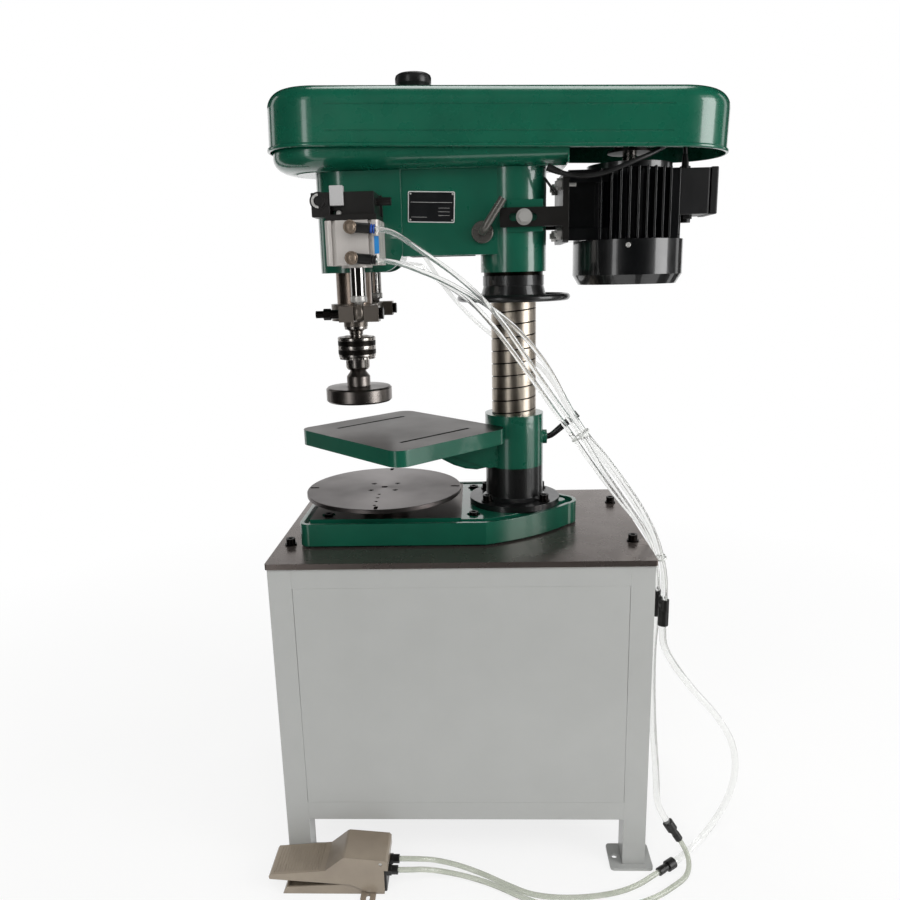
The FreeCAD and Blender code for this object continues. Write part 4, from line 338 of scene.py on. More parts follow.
def new_finish(name):
    """A material with the standard shader, and where a point is on the piece at rest."""
    material = bpy.data.materials.new(name)
    material.use_nodes = True
    place = add(material, "TexCoord", {}).outputs["Object"]
    return material, material.node_tree.nodes["Principled BSDF"], place


def relief(material, place, edge, layers):
    """Rounded edges with noise relief on them: each layer is a pattern size in mm and a depth in mm."""
    normal = add(material, "Bevel", {"Radius": edge}, samples=4)
    for size, depth in layers:
        noise = add(material, "TexNoise", {"Vector": place, "Scale": every(size), "Detail": 2.0})
        normal = add(material, "Bump", {
            "Strength": 1.0, "Distance": depth / 1000, "Height": noise, "Normal": normal,
        })
    return normal


def patchy(material, place, size, low, high, detail=3.0):
    """A value that drifts between low and high over patches of this size in mm."""
    noise = add(material, "TexNoise", {"Vector": place, "Scale": every(size), "Detail": detail})
    return add(material, "MapRange", {
        "Value": noise, "From Min": 0.22, "From Max": 0.78, "To Min": low, "To Max": high,
    })


def two_tone(material, factor, first, second):
    """A colour between two, by a factor from 0 to 1. Each is a hex colour or comes from a node."""
    first, second = (linear(shade) if isinstance(shade, str) else shade for shade in (first, second))
    return add(material, "MixRGB", {"Fac": factor, "Color1": first, "Color2": second})


def mottled(material, place, size, first, second):
    """Two near shades in patches of this size in mm."""
    return two_tone(material, patchy(material, place, size, 0.0, 1.0), first, second)


def reach_from(material, place, centre):
    """How far a point is from an upright axis."""
    moved = add(material, "VectorMath", {0: place, 1: centre}, operation="SUBTRACT")
    flat = add(material, "VectorMath", {0: moved, 1: (1.0, 1.0, 0.0)}, operation="MULTIPLY")
    return add(material, "VectorMath", {0: flat}, operation="LENGTH").outputs["Value"]


def enamel(name, paint, shade, roughness, edge, layers, coat=1.0, coat_roughness=0.05):
    """Stoved enamel: even colour under a clear gloss skin that carries the orange peel."""
    material, shader, place = new_finish(name)
    normal = relief(material, place, edge, layers)
    set_sockets(material, shader, {
        "Base Color": mottled(material, place, 70.0, paint, shade),
        "Roughness": patchy(material, place, 25.0, roughness - 0.05, roughness + 0.06),
        "IOR": 1.5,
        "Coat Weight": coat,
        "Coat Roughness": coat_roughness,
        "Coat IOR": 1.5,
        "Normal": normal,
        "Coat Normal": normal,
    })
    return material


def marks_along(material, place, stretch, width):
    """Fine machining marks: noise that is drawn out along the directions where stretch is small."""
    drawn = add(material, "VectorMath", {0: place, 1: stretch}, operation="MULTIPLY")
    return add(material, "TexNoise", {
        "Vector": drawn, "Scale": every(width), "Detail": 3.0, "Roughness": 0.6,
    })


def rings_about(material, place, centre, width):
    """Turning marks: rings about an upright axis."""
    reach = reach_from(material, place, centre)
    return add(material, "TexNoise", {
        "W": reach, "Scale": every(width), "Detail": 3.0, "Roughness": 0.65,
    }, noise_dimensions="1D")


# Marks of the tools: how they run, the stretch or the centre, and their width in mm
upright_turning = (marks_along, (0.02, 0.02, 1.0), 0.7)
plate_marks = (marks_along, (0.04, 1.0, 1.0), 1.2)
across_table = (marks_along, (0.03, 1.0, 1.0), 1.0)
drawn_upright = (marks_along, (1.0, 1.0, 0.01), 0.8)
milled = (marks_along, (1.0, 0.1, 1.0), 0.6)
disc_rings = (rings_about, (-0.145, 0.0, 0.0), 1.1)


def machined(
    name, bright, dull, roughness, depth, edge, marks=upright_turning, anisotropic=0.0, stain=None, stained=0.5,
    metallic=1.0
):
    """Machined metal. depth is of its marks, in mm. stain is a darker colour of handled or oiled patches."""
    material, shader, place = new_finish(name)
    draw, way, width = marks
    lines = draw(material, place, way, width)
    rounded = add(material, "Bevel", {"Radius": edge}, samples=4)
    colour = two_tone(material, lines, bright, dull)
    if stain:
        amount = patchy(material, place, 90.0, 0.0, stained, detail=2.0)
        colour = two_tone(material, amount, colour, stain)
    set_sockets(material, shader, {
        "Base Color": colour,
        "Metallic": metallic,
        "Roughness": patchy(material, place, 60.0, roughness - 0.03, roughness + 0.05),
        "Anisotropic": anisotropic,
        "Normal": add(material, "Bump", {
            "Strength": 1.0, "Distance": depth / 1000, "Height": lines, "Normal": rounded,
        }),
    })
    if anisotropic:
        tangent = add(material, "Tangent", {}, direction_type="RADIAL", axis="Z")
        set_sockets(material, shader, {"Tangent": tangent})
    return material


def moulded(name, colour, shade, roughness, edge, layers):
    """Moulded plastic or rubber: one colour with faint flow patches."""
    material, shader, place = new_finish(name)
    set_sockets(material, shader, {
        "Base Color": mottled(material, place, 14.0, colour, shade),
        "Roughness": patchy(material, place, 9.0, roughness - 0.05, roughness + 0.07),
        "IOR": 1.5,
        "Normal": relief(material, place, edge, layers),
    })
    return material


def top_face(material, place, height):
    """1 on what lies above a height and faces up, and 0 elsewhere."""
    level = add(material, "SeparateXYZ", {"Vector": place}).outputs["Z"]
    normal = add(material, "TexCoord", {}).outputs["Normal"]
    up = add(material, "SeparateXYZ", {"Vector": normal}).outputs["Z"]
    high = add(material, "Math", {0: level, 1: height}, operation="GREATER_THAN")
    flat = add(material, "Math", {0: up, 1: 0.95}, operation="GREATER_THAN")
    return add(material, "Math", {0: high, 1: flat}, operation="MULTIPLY")


def faced_casting(name, paint, shade, height, bright, dull):
    """Enamelled casting whose top face above a height is machined bare."""
    material, shader, place = new_finish(name)
    bare = top_face(material, place, height)
    draw, way, width = across_table
    lines = draw(material, place, way, width)
    stain = patchy(material, place, 130.0, 0.0, 0.45, detail=2.0)
    oily = two_tone(material, stain, two_tone(material, lines, bright, dull), "#4A413B")
    skin = relief(material, place, 0.002, [(18.0, 0.10), (4.0, 0.012)])
    lined = add(material, "Bump", {"Strength": 1.0, "Distance": 0.00002, "Height": lines})
    set_sockets(material, shader, {
        "Base Color": two_tone(material, bare, mottled(material, place, 70.0, paint, shade), oily),
        "Metallic": bare,
        "Roughness": add(material, "MapRange", {
            "Value": bare, "To Min": 0.3, "To Max": patchy(material, place, 80.0, 0.30, 0.38),
        }),
        "Coat Weight": add(material, "Math", {0: 1.0, 1: bare}, operation="SUBTRACT"),
        "Coat Roughness": 0.05,
        "Normal": two_tone(material, bare, skin, lined),
        "Coat Normal": skin,
    })
    return material


def clear_tube(name, tint, milk, roughness, clearness):
    """Extruded polyurethane tube: clear and a little milky, with bright edges where its wall is seen end on."""
    material, shader, place = new_finish(name)
    set_sockets(material, shader, {
        "Base Color": mottled(material, place, 40.0, tint, milk),
        "Roughness": patchy(material, place, 30.0, roughness - 0.02, roughness + 0.03),
        "IOR": 1.49,
        "Transmission Weight": clearness,
        "Normal": relief(material, place, 0.0001, [(60.0, 0.02)]),
    })
    return material


def paint_shade(material, mask, shade):
    """Paints shade over a finish: a dark colour where the mask is 1."""
    shader = material.node_tree.nodes["Principled BSDF"]
    colour = shader.inputs["Base Color"].links[0].from_socket
    set_sockets(material, shader, {"Base Color": two_tone(material, mask, colour, shade)})


# Finishes

# Emerald machine enamel brushed on cast iron: deep green, with a wet gloss that breaks up in orange peel
green_paint = "#0A5440"
green_shade = "#084837"
cast_enamel = enamel(
    "emerald_enamel_on_casting", green_paint, green_shade, 0.30, 0.0006, [(18.0, 0.12), (4.5, 0.016)]
)
# The same enamel on pressed sheet: smoother, with the long waves of drawn steel
sheet_enamel = enamel(
    "emerald_enamel_on_pressed_sheet", "#0B5842", "#094D3A", 0.28, 0.0012, [(120.0, 0.25), (5.0, 0.005)],
    coat_roughness=0.07
)
# Black gloss enamel on the motor: near black, with bright lines on the fins
black_enamel = enamel("black_gloss_enamel", "#050607", "#08090B", 0.32, 0.0008, [(14.0, 0.05), (3.0, 0.006)])
# Black gloss enamel on cast iron, brushed thicker
black_casting = enamel(
    "black_enamel_on_casting", "#0B0C0D", "#131313", 0.36, 0.0014, [(10.0, 0.08), (3.0, 0.010)], coat=0.6
)
# Black phosphate on brackets and slide bars: dark and only half glossy
phosphated = enamel(
    "phosphated_steel_bar", "#0E0D0C", "#161412", 0.42, 0.0008, [(6.0, 0.02), (1.5, 0.01)],
    coat=0.25, coat_roughness=0.25
)
# Terminal box, satin black on a fine sand texture
satin_black = enamel(
    "satin_black_die_casting", "#0E0E0F", "#141415", 0.45, 0.0012, [(1.6, 0.012)], coat=0.15, coat_roughness=0.3
)
# Pale grey powder coat of the bench: soft sheen over a fine orange peel
bench_coat = enamel(
    "pale_grey_powder_coat", "#A9AAA8", "#A5A6A4", 0.42, 0.0012, [(260.0, 0.12), (2.4, 0.010)],
    coat=0.35, coat_roughness=0.22
)
# Hammered tan enamel of the foot valve: small dimples that catch the light
hammered_enamel = enamel(
    "hammered_tan_enamel", "#9B8F7E", "#83776A", 0.40, 0.0016, [(3.2, 0.10), (1.1, 0.03)],
    coat=0.4, coat_roughness=0.2
)

# Hot-rolled bench plate, ground and oiled: brown grey, mirrors what stands on it in long streaks
oiled_plate = machined(
    "oiled_ground_plate", "#857C78", "#746B66", 0.26, 0.008, 0.001, plate_marks, stain="#5A4F4A", stained=0.4,
    metallic=0.8
)
# Ground column steel: fine rings round it, a brown film of oil between bright streaks
column_steel = machined(
    "ground_column_steel", "#C9C0B3", "#B1A698", 0.31, 0.004, 0.0004, anisotropic=0.3,
    stain="#8A7762", stained=0.2
)
# Ground quill, warm grey with a dull film
quill_steel = machined("ground_quill_steel", "#B3A79D", "#94867B", 0.30, 0.004, 0.0006, stain="#7B6454")
# Turned steel of the chuck: bright bands
chuck_steel = machined("turned_chuck_steel", "#BAB5B0", "#98938E", 0.22, 0.005, 0.0006, anisotropic=0.3)
# Oil-blackened jaws
knurled_steel = machined("oil_blackened_steel", "#5C5752", "#39342F", 0.34, 0.02, 0.0005)
# Turned tool steel of the curling die: grey with rings
die_steel = machined("turned_die_steel", "#8F8985", "#746E6A", 0.28, 0.005, 0.0009, anisotropic=0.4)
# Face-turned disc: brown-grey rings under a trace of oil
disc_steel = machined(
    "face_turned_disc_steel", "#8A8381", "#767070", 0.30, 0.006, 0.0006, disc_rings, 0.5, "#5E5653", 0.35
)
# Hard chrome on the piston rods: mirror bright
hard_chrome = machined("hard_chrome", "#D3D1CF", "#BDBAB7", 0.10, 0.002, 0.0004)
# Bright zinc on nuts, bolts and washers
zinc_plate = machined("zinc_plated_steel", "#CFCECB", "#B4B2AE", 0.36, 0.004, 0.0005, milled, metallic=0.6)
# Milled steel of the collar and rod eyes: dark grey with cutter marks
milled_steel = machined("milled_steel", "#8B837B", "#6B645D", 0.34, 0.008, 0.0009, milled, metallic=0.8)
# Polished dark steel of the clamp lever
lever_steel = machined("polished_lever_steel", "#86847F", "#65625D", 0.26, 0.005, 0.0006, metallic=0.75)
# Black oxide on socket screws: dark with a faint steel sheen
black_oxide = machined("black_oxide_screw_steel", "#2A2725", "#1A1817", 0.34, 0.006, 0.0005)
# Bearing steel, mirror ground
bearing_steel = machined("bearing_steel", "#B5B2AE", "#9C9894", 0.18, 0.003, 0.0004)
# Cast bronze thrust washer, coloured nearly black
bronze = machined("near_black_cast_bronze", "#15120F", "#0F0D0B", 0.34, 0.01, 0.0006)
# Extruded and anodised cylinder profile: warm silver white with faint upright die lines
anodised_profile = machined(
    "anodised_aluminium_profile", "#C9C4C0", "#BDB8B3", 0.36, 0.004, 0.001, drawn_upright, metallic=0.35
)
# Turned aluminium pulleys, painted dark for the shade under the belt cover
shaded_pulley_alloy = machined("turned_aluminium_with_painted_shade", "#4A4947", "#363533", 0.42, 0.006, 0.0008)
# Bead-blasted clamp block: even silver grey
blasted_alloy = machined("blasted_aluminium", "#B6B5B5", "#AAA9A9", 0.50, 0.004, 0.0012, milled, metallic=0.2)
# Nickel on brass, warm grey, on the screw heads of the air fittings
brown_nickel = machined("nickel_plated_brass", "#9E8F80", "#857667", 0.38, 0.004, 0.0006, milled, metallic=0.7)
# Knurled bands of the chuck, blackened in the valleys
knurled_band = machined("knurled_band_steel", "#3A3633", "#1C1A18", 0.40, 0.004, 0.0003)
# Bare rim of the data plate
plate_silver = machined("bare_aluminium_rim", "#DADAD8", "#CCCCCA", 0.36, 0.001, 0.0002, milled, metallic=0.4)

# Black anodised field of the data plate
plate_black = moulded("black_anodised_sheet", "#0C0D0F", "#141517", 0.32, 0.0003, [(0.8, 0.004)])
# Glass-filled nylon of the push-in fittings: black, faintly grained
black_nylon = moulded("black_nylon", "#111111", "#1B1A19", 0.38, 0.0008, [(0.9, 0.012)])
# Blue acetal release ring: clean and half glossy
blue_acetal = moulded("blue_acetal", "#1F4FA8", "#184190", 0.30, 0.0004, [(0.9, 0.006)])
# Blue film strip on the cylinder: flat and even
blue_film = moulded("blue_vinyl_film", "#1E7FC2", "#1A72B2", 0.34, 0.0002, [(3.0, 0.004)])
# Phenolic knob: hard, black and glossy
phenolic = moulded("moulded_phenolic", "#161616", "#1E1E1E", 0.30, 0.0012, [(6.0, 0.01), (1.2, 0.003)])
# Belt rubber: matt, dusty on its edges
belt_rubber = moulded("belt_rubber", "#1C1B1A", "#2B2927", 0.66, 0.001, [(1.4, 0.05)])
# Nylon of the cooling fan: dull black
fan_nylon = moulded("fan_nylon", "#1B1B1C", "#252526", 0.45, 0.0008, [(1.0, 0.01)])
# Rubber sheath of the motor lead: black with a soft sheen
lead_rubber = moulded("black_rubber_sheath", "#0E0E0E", "#181818", 0.40, 0.0006, [(1.2, 0.01)])
# Natural nylon of the ties: milky white
clear_nylon = moulded("natural_nylon", "#DADCD8", "#C9CBC7", 0.30, 0.0003, [(1.0, 0.006)])

# Clear hoses look white with grey edges
clear_hose = clear_tube("clear_polyurethane_tube", "#FDFDFC", "#F7F8F6", 0.03, 0.90)
# The hoses on the floor have greyed with handling
floor_tube = clear_tube("greyed_polyurethane_tube", "#D0D3C8", "#BEC3B5", 0.12, 0.75)

# Work table and machine base: enamelled cast iron, planed bare on top
table_finish = faced_casting("planed_table_casting", green_paint, green_shade, 0.7838, "#6E6966", "#5D5855")
base_finish = faced_casting("planed_base_casting", green_paint, green_shade, 0.6327, "#857E79", "#69625E")

column_x = 0.101
groove_floor = 0.0382
groove_lip = 0.0398
table_centre = (-0.101, -0.056, 0.0)
table_angle = -45.3
slot_offset = 0.090
slot_half_width = 0.0041
slot_half_length = 0.0797


def shade_the_groove():
    """Painted shade in the helical groove: the column is coloured near black where the surface lies below its skin.
    """
    place = add(column_steel, "TexCoord", {}).outputs["Object"]
    reach = reach_from(column_steel, place, (column_x, 0.0, 0.0))
    sunk = add(column_steel, "MapRange", {
        "Value": reach, "From Min": groove_floor, "From Max": groove_lip, "To Min": 1.0, "To Max": 0.0,
    })
    paint_shade(column_steel, sunk, "#0F0C0A")


def shade_the_slots():
    """Painted shade in the two slots of the table: nearly black inside them, below the planed face."""
    place = add(table_finish, "TexCoord", {}).outputs["Object"]
    local = add(table_finish, "Mapping", {
        "Vector": place, "Location": table_centre, "Rotation": (0.0, 0.0, math.radians(table_angle)),
    }, vector_type="TEXTURE")
    parts = add(table_finish, "SeparateXYZ", {"Vector": local})
    across, along = (
        add(table_finish, "Math", {0: parts.outputs[way]}, operation="ABSOLUTE") for way in ("X", "Y")
    )
    near = add(table_finish, "Math", {0: across, 1: slot_offset, 2: slot_half_width}, operation="COMPARE")
    short = add(table_finish, "Math", {0: along, 1: slot_half_length}, operation="LESS_THAN")
    paint_shade(table_finish, add(table_finish, "Math", {0: near, 1: short}, operation="MULTIPLY"), "#0A0A09")


shade_the_groove()
shade_the_slots()

# Finish of each carried-over CAD node
node_finishes = (
    (bench_coat, "bench_legs bench_rails bench_panels foot_plates"),
    (oiled_plate, "bench_top"),
    (base_finish, "base_casting"),
    (table_finish, "work_table"),
    (cast_enamel, "head_casting table_bracket table_clamp_handle"),
    (sheet_enamel, "belt_pan belt_cover"),
    (black_casting, "column_flange lift_nut"),
    (black_enamel, "motor_frame end_shields fan_cowl"),
    (satin_black, "terminal_box terminal_lid"),
    (phosphated, "motor_mount cylinder_brackets"),
    (black_oxide, "cap_screws cross_bolts"),
    (zinc_plate, "table_bolt slide_bolts motor_bolts cover_stud pedal_pin rod_ends"),
    (column_steel, "column"),
    (quill_steel, "quill"),
    (milled_steel, "quill_collar"),
    (hard_chrome, "piston_rods"),
    (chuck_steel, "spindle chuck_body chuck_sleeve motor_rotor"),
    (knurled_steel, "chuck_jaws"),
    (die_steel, "curling_die"),
    (lever_steel, "head_clamp_lever"),
    (disc_steel, "locating_disc disc_spacer"),
    (bearing_steel, "pulley_bearing spindle_bearings"),
    (bronze, "thrust_washer"),
    (anodised_profile, "air_cylinders"),
    (black_nylon, "pedal_valve port_fittings hose_unions"),
    (shaded_pulley_alloy, "spindle_pulley motor_pulley"),
    (clear_hose, "cylinder_hoses supply_hoses"),
    (floor_tube, "pedal_hoses"),
    (belt_rubber, "v_belt"),
    (phenolic, "cover_knob"),
    (fan_nylon, "motor_fan"),
    (hammered_enamel, "pedal_base pedal_treadle"),
    (lead_rubber, "motor_lead"),
)
for finish, names in node_finishes:
    for node in names.split():
        nodes[node].data.materials.clear()
        nodes[node].data.materials.append(finish)


# Hoses from the cylinders to the unions, each cut in two at the tie

tie_height = 0.7835


def hang_hose(name, line):
    """One thin hose, cut in two at the tie: an upper half and a lower half."""
    points = centre_line(name, line)
    cut = nearest(points, tie_height)
    upper_points, lower_points = points[:cut + 1], points[cut:]
    upper = tube_mesh(name + "_upper", upper_points, thin_hose)
    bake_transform(upper)
    lower = tube_mesh(name + "_lower", lower_points, thin_hose)
    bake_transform(lower)
    for piece in (upper, lower):
        piece.data.materials.append(clear_hose)
    return points, upper


def lay_hose(name, line, diameter, finish):
    """One hose on the bench body, from end to end."""
    points = centre_line(name, line)
    tube = dress(tube_mesh(name, points, diameter), finish, "bench")
    return tube


upper_near_points, upper_near_hose = hang_hose("near_hose_to_upper_port", upper_near_line)
lower_near_points, _ = hang_hose("near_hose_to_lower_port", lower_near_line)
lower_far_points, _ = hang_hose("far_hose_to_lower_port", lower_far_line)
upper_far_points, _ = hang_hose("far_hose_to_upper_port", upper_far_line)
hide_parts("cylinder_hoses")

loop_hose = lay_hose("supply_hose_in_a_wide_loop", big_loop_line, thick_hose, clear_hose)
lay_hose("supply_hose_beside_the_leg", leg_line, thick_hose, clear_hose)
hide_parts("supply_hoses")
outer_hose = lay_hose("outer_hose_to_foot_valve", outer_foot_line, foot_hose, floor_tube)
lay_hose("inner_hose_to_foot_valve", inner_foot_line, foot_hose, floor_tube)
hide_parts("pedal_hoses")


# Motor lead, with a tapered relief at each end

lead_points = centre_line("motor_lead_sheath", lead_line)
lead = tube_mesh("motor_lead_sheath", lead_points, lead_width)
lead.data.materials.append(lead_rubber)
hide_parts("motor_lead")
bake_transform(lead)


def tapered_relief(name, points, reach, body):
    """A moulded sleeve that tapers along the first stretch of a cord, with rings round it."""
    part, gone = [points[0]], 0.0
    for a, b in zip(points, points[1:]):
        gone += (b - a).length
        if gone > reach:
            break
        part.append(b)
    count = len(part) - 1
    wide = [1.62 - 0.50 * i / count - (0.10 if i % 2 else 0.0) for i in range(len(part))]
    return dress(tube_mesh(name, part, lead_width, thickness=wide), lead_rubber, body)


lead_relief = tapered_relief("lead_relief_at_pan", lead_points, 0.026, "head")
gland_relief = tapered_relief("lead_relief_at_terminal_box", lead_points[::-1], 0.022, "motor")


# Ground column with the right-hand helical groove of the lifting nut

column_radius = 0.040
column_low = 0.631
column_high = 1.176
column_steps = 144
groove_pitch = 0.0225
groove_mouth = 0.0024
groove_depth = 0.0017


def grooved_column():
    """The groove rises to the right on the near side. Its ends run out in the flange and in the head."""
    section = (
        (-groove_mouth * 0.5, 0.0), (-groove_mouth * 0.34, -groove_depth), (groove_mouth * 0.34, -groove_depth),
        (groove_mouth * 0.5, 0.0), (groove_pitch * 0.5, 0.0),
    )
    turns = int((column_high - column_low) / groove_pitch) + 3
    rows = [
        (turn * groove_pitch + rise, column_radius + sink)
        for turn in range(-1, turns) for rise, sink in section
    ]
    circle = around(column_steps)
    loops = []
    for rise, radius in rows:
        levels = [column_low + rise + groove_pitch * step / column_steps for step in range(column_steps + 1)]
        loops.append([
            (column_x + radius * x, radius * y, min(max(level, column_low), column_high))
            for (x, y), level in zip(circle + circle[:1], levels)
        ])
    piece = face_outwards(loft("helically_grooved_column", loops, closed=False, capped=False), flat_faces=True)
    piece.data.polygons.foreach_set("use_smooth", [True] * len(piece.data.polygons))
    split = piece.modifiers.new("crisp_groove", "EDGE_SPLIT")
    split.split_angle = math.radians(32)
    return piece


dress(grooved_column(), column_steel, "bench", "column")


# V-belt over the two pulleys, with a wedge section

belt_low = 1.2735
belt_width = 0.013
belt_depth = 0.009
belt_inner_spindle = 0.05235
belt_inner_motor = 0.04035
spindle_x = -0.184
motor_x = 0.300
belt_arc_steps = 40
belt_run_cuts = 24


def v_belt():
    lean = math.asin((belt_inner_spindle - belt_inner_motor) / (motor_x - spindle_x))
    course = []
    for x, radius, first, turn in (
        (spindle_x, belt_inner_spindle, math.pi / 2 - lean, math.pi + 2 * lean),
        (motor_x, belt_inner_motor, lean - math.pi / 2, math.pi - 2 * lean),
    ):
        course += [(x, radius, first + turn * step / belt_arc_steps) for step in range(belt_arc_steps + 1)]
    section = (
        (0.0, 0.0022), (0.0, belt_width - 0.0022),
        (belt_depth * 0.8, belt_width), (belt_depth, belt_width * 0.94),
        (belt_depth, belt_width * 0.06), (belt_depth * 0.8, 0.0),
    )
    loops = []
    for (x, radius, angle), (next_x, next_radius, _) in zip(course, course[1:] + course[:1]):
        cuts = belt_run_cuts if next_x != x else 1
        for cut in range(cuts):
            middle = x + (next_x - x) * cut / cuts
            reach = radius + (next_radius - radius) * cut / cuts
            loops.append([
                (middle + (reach + out) * math.cos(angle), (reach + out) * math.sin(angle), belt_low + up)
                for out, up in section
            ])
    return face_outwards(loft("v_belt_loop", loops, endless=True, capped=False, smooth=False))


belt = v_belt()
belt.data.materials.append(belt_rubber)
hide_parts("v_belt")
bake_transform(belt)


# Data plate on the web: black field in a bare rim, four rivets, left without words

plate_centre = (-0.0385, -0.0502, 1.1615)
plate_width = 0.079
plate_height = 0.0505
plate_thickness = 0.001
plate_lean = 2.2
rim_width = 0.0016
rivet_radius = 0.0016
rivet_inset = 0.0042


def on_web(x, y):
    """A matrix that stands a flat piece upright on the web, leaning as the plate does."""
    return standing(plate_centre, lean=plate_lean) @ Matrix.Translation(Vector((x, y, 0.0)))


rim = slab(
    "data_plate_rim", rounded_outline(plate_width, plate_height, 0.0025), 0.0, plate_thickness, on_web(0, 0)
)
dress(rim, plate_silver, "head", edge=0.00025, segments=2)
field = slab(
    "data_plate_field", rounded_outline(plate_width - 2 * rim_width, plate_height - 2 * rim_width, 0.0015),
    plate_thickness * 0.5, plate_thickness + 0.00015, on_web(0, 0)
)
dress(field, plate_black, "head", edge=0.0001, segments=1)

rule_lines = (
    (0.0, 0.0075, 0.07, 0.0005), (0.0215, -0.0015, 0.019, 0.0004), (0.0215, -0.0075, 0.019, 0.0004),
    (0.0215, -0.0135, 0.019, 0.0004), (-0.0205, -0.0165, 0.027, 0.0004),
)
for number, (x, y, width, height) in enumerate(rule_lines):
    rule = slab(
        "data_plate_line_%d" % (number + 1), rounded_outline(width, height, height * 0.4, 2),
        plate_thickness, plate_thickness + 0.0003, on_web(x, y)
    )
    dress(rule, plate_silver, "head")

dome = [
    (0.0, rivet_radius), (0.0005, rivet_radius), (0.0009, rivet_radius * 0.8), (0.0011, rivet_radius * 0.35)
]
for number, (sx, sy) in enumerate(((-1, -1), (-1, 1), (1, -1), (1, 1))):
    across, up = sx * (plate_width / 2 - rivet_inset), sy * (plate_height / 2 - rivet_inset)
    place = on_web(across, up) @ Vector((0.0, 0.0, plate_thickness))
    rivet = turned("data_plate_rivet_%d" % (number + 1), dome, place, (0.0, -1.0, 0.0), 20)
    dress(rivet, zinc_plate, "head")


# Air fittings: plated screw heads, blue release rings above and black ones below

cylinder_x = -0.160
cylinder_face = 0.150
port_heights = {"upper": 1.126, "lower": 1.079}
port_radius = 0.0103
port_stand = 0.015
collet_x = cylinder_x + port_radius + 0.020
collet_stand = 0.0083
collet_drop = 0.003
elbow_lean = (0.0303, 0.0, -0.003)

screw_profile = [
    (-0.006, port_radius + 0.0003), (0.0004, port_radius + 0.0003), (0.0014, port_radius - 0.0006),
    (0.0016, port_radius - 0.0014), (0.0006, port_radius - 0.0017), (0.0006, port_radius - 0.0023),
    (0.0015, port_radius - 0.0026), (0.0017, 0.0005),
]
ring_profile = [
    (0.001, 0.0068), (0.0014, 0.0071), (0.0038, 0.0071), (0.0042, 0.0066), (0.0042, 0.006), (0.0052, 0.006),
    (0.0056, 0.0072), (0.0074, 0.0072), (0.0078, 0.0068), (0.0078, 0.0045),
]
for side, side_name in ((-1, "near"), (1, "far")):
    for level, height in port_heights.items():
        port = (cylinder_x, side * (cylinder_face + port_stand), height)
        screw = turned("%s_%s_port_screw" % (side_name, level), screw_profile, port, (0.0, side, 0.0), 40)
        dress(screw, brown_nickel, "head")
        start = (collet_x, side * (cylinder_face + collet_stand), height - collet_drop)
        ring = turned("%s_%s_release_ring" % (side_name, level), ring_profile, start, elbow_lean, 32)
        dress(ring, blue_acetal if level == "upper" else black_nylon, "head")


# Blue strip on the near cylinder, without its lettering, then the clamp block and half ring on its bracket

strip = slab(
    "plain_blue_strip", rounded_outline(0.0075, 0.027, 0.0004, 2), 0.0, 0.0003,
    standing((-0.1211, -cylinder_face, 1.0985))
)
dress(strip, blue_film, "head")

hub_x = -0.211
hub_z = 1.1675
bracket_front = -0.137
ring_outer = 0.0112
ring_inner = 0.0074

clamp_block = slab(
    "clamp_block", rounded_outline(0.0214, 0.0304, 0.0012, 3), -0.0073, 0.0066,
    standing((-0.1825, bracket_front, 1.175))
)
dress(clamp_block, blasted_alloy, "head", edge=0.0007)

ring_angles = [math.radians(90 + 180 * step / 24) for step in range(25)]
half_ring_outline = [(ring_outer * math.cos(angle), ring_outer * math.sin(angle)) for angle in ring_angles]
half_ring_outline += [
    (ring_inner * math.cos(angle), ring_inner * math.sin(angle)) for angle in ring_angles[::-1]
]
half_ring = slab("hub_half_ring", half_ring_outline, 0.0055, 0.0088, standing((hub_x, bracket_front, hub_z)))
dress(half_ring, zinc_plate, "head", edge=0.0006, segments=2)

pan_head = [
    (-0.002, 0.0042), (0.0008, 0.0042), (0.0018, 0.0036), (0.0021, 0.0026), (0.0013, 0.0022), (0.0013, 0.0006),
]
bracket_screw = turned("bracket_screw", pan_head, (-0.181, -0.1345, 1.149), (0.0, -1.0, 0.0), 24)
dress(bracket_screw, zinc_plate, "head")
cowl_screw = turned("cowl_screw", pan_head, (0.284, -0.0927, 1.0905), (-0.17, -0.985, 0.0), 24)
dress(cowl_screw, zinc_plate, "motor")


# Ties round the thin hoses

tie_clearance = 0.0004
tie_steps = 48
tie_section = ((-0.0016, 0.0), (0.0016, 0.0), (0.0016, 0.0011), (-0.0016, 0.0011))


def tie_round(name, lines, height):
    """A narrow nylon band drawn round a bundle of hoses at a height, square to them."""
    centres, ways = [], []
    for points in lines:
        i = nearest(points, height)
        centres.append(points[i])
        ways.append((points[i + 1] - points[i - 1]).normalized())
    middle = sum(centres, Vector()) / len(centres)
    along = sum(ways, Vector()).normalized()
    side = along.orthogonal().normalized()
    other = along.cross(side)
    loops = []
    for x, y in around(tie_steps):
        out = x * side + y * other
        reach = max((centre - middle).dot(out) for centre in centres) + thin_hose / 2 + tie_clearance
        loops.append([middle + out * (reach + thick) + along * high for high, thick in tie_section])
    band = face_outwards(loft(name, loops, endless=True, capped=False, smooth=False))
    soften_edges(band, 0.0003, 2)
    return band


thin_lines = (upper_near_points, lower_near_points, lower_far_points, upper_far_points)
dress(tie_round("tie_beside_column", thin_lines, tie_height), clear_nylon, "carriage")


# Drill chuck: bright bands between knurled ones, a gear ring below and a key hole in the body

chuck_axis = (spindle_x, 0.0, 0.0)
chuck_body_radius = 0.0214

chuck_body = turned("turned_chuck_body", [
    (0.885, 0.015), (0.885, 0.0186), (0.888, 0.0208), (0.8905, 0.0215), (0.9062, 0.0215), (0.9062, 0.029),
    (0.9395, 0.03), (0.9452, 0.0262), (0.9466, 0.02), (0.947, 0.0115),
], chuck_axis, steps=64)
dress(chuck_body, chuck_steel, "spindle", stands_for="chuck_body", edge=0.0004, segments=2)

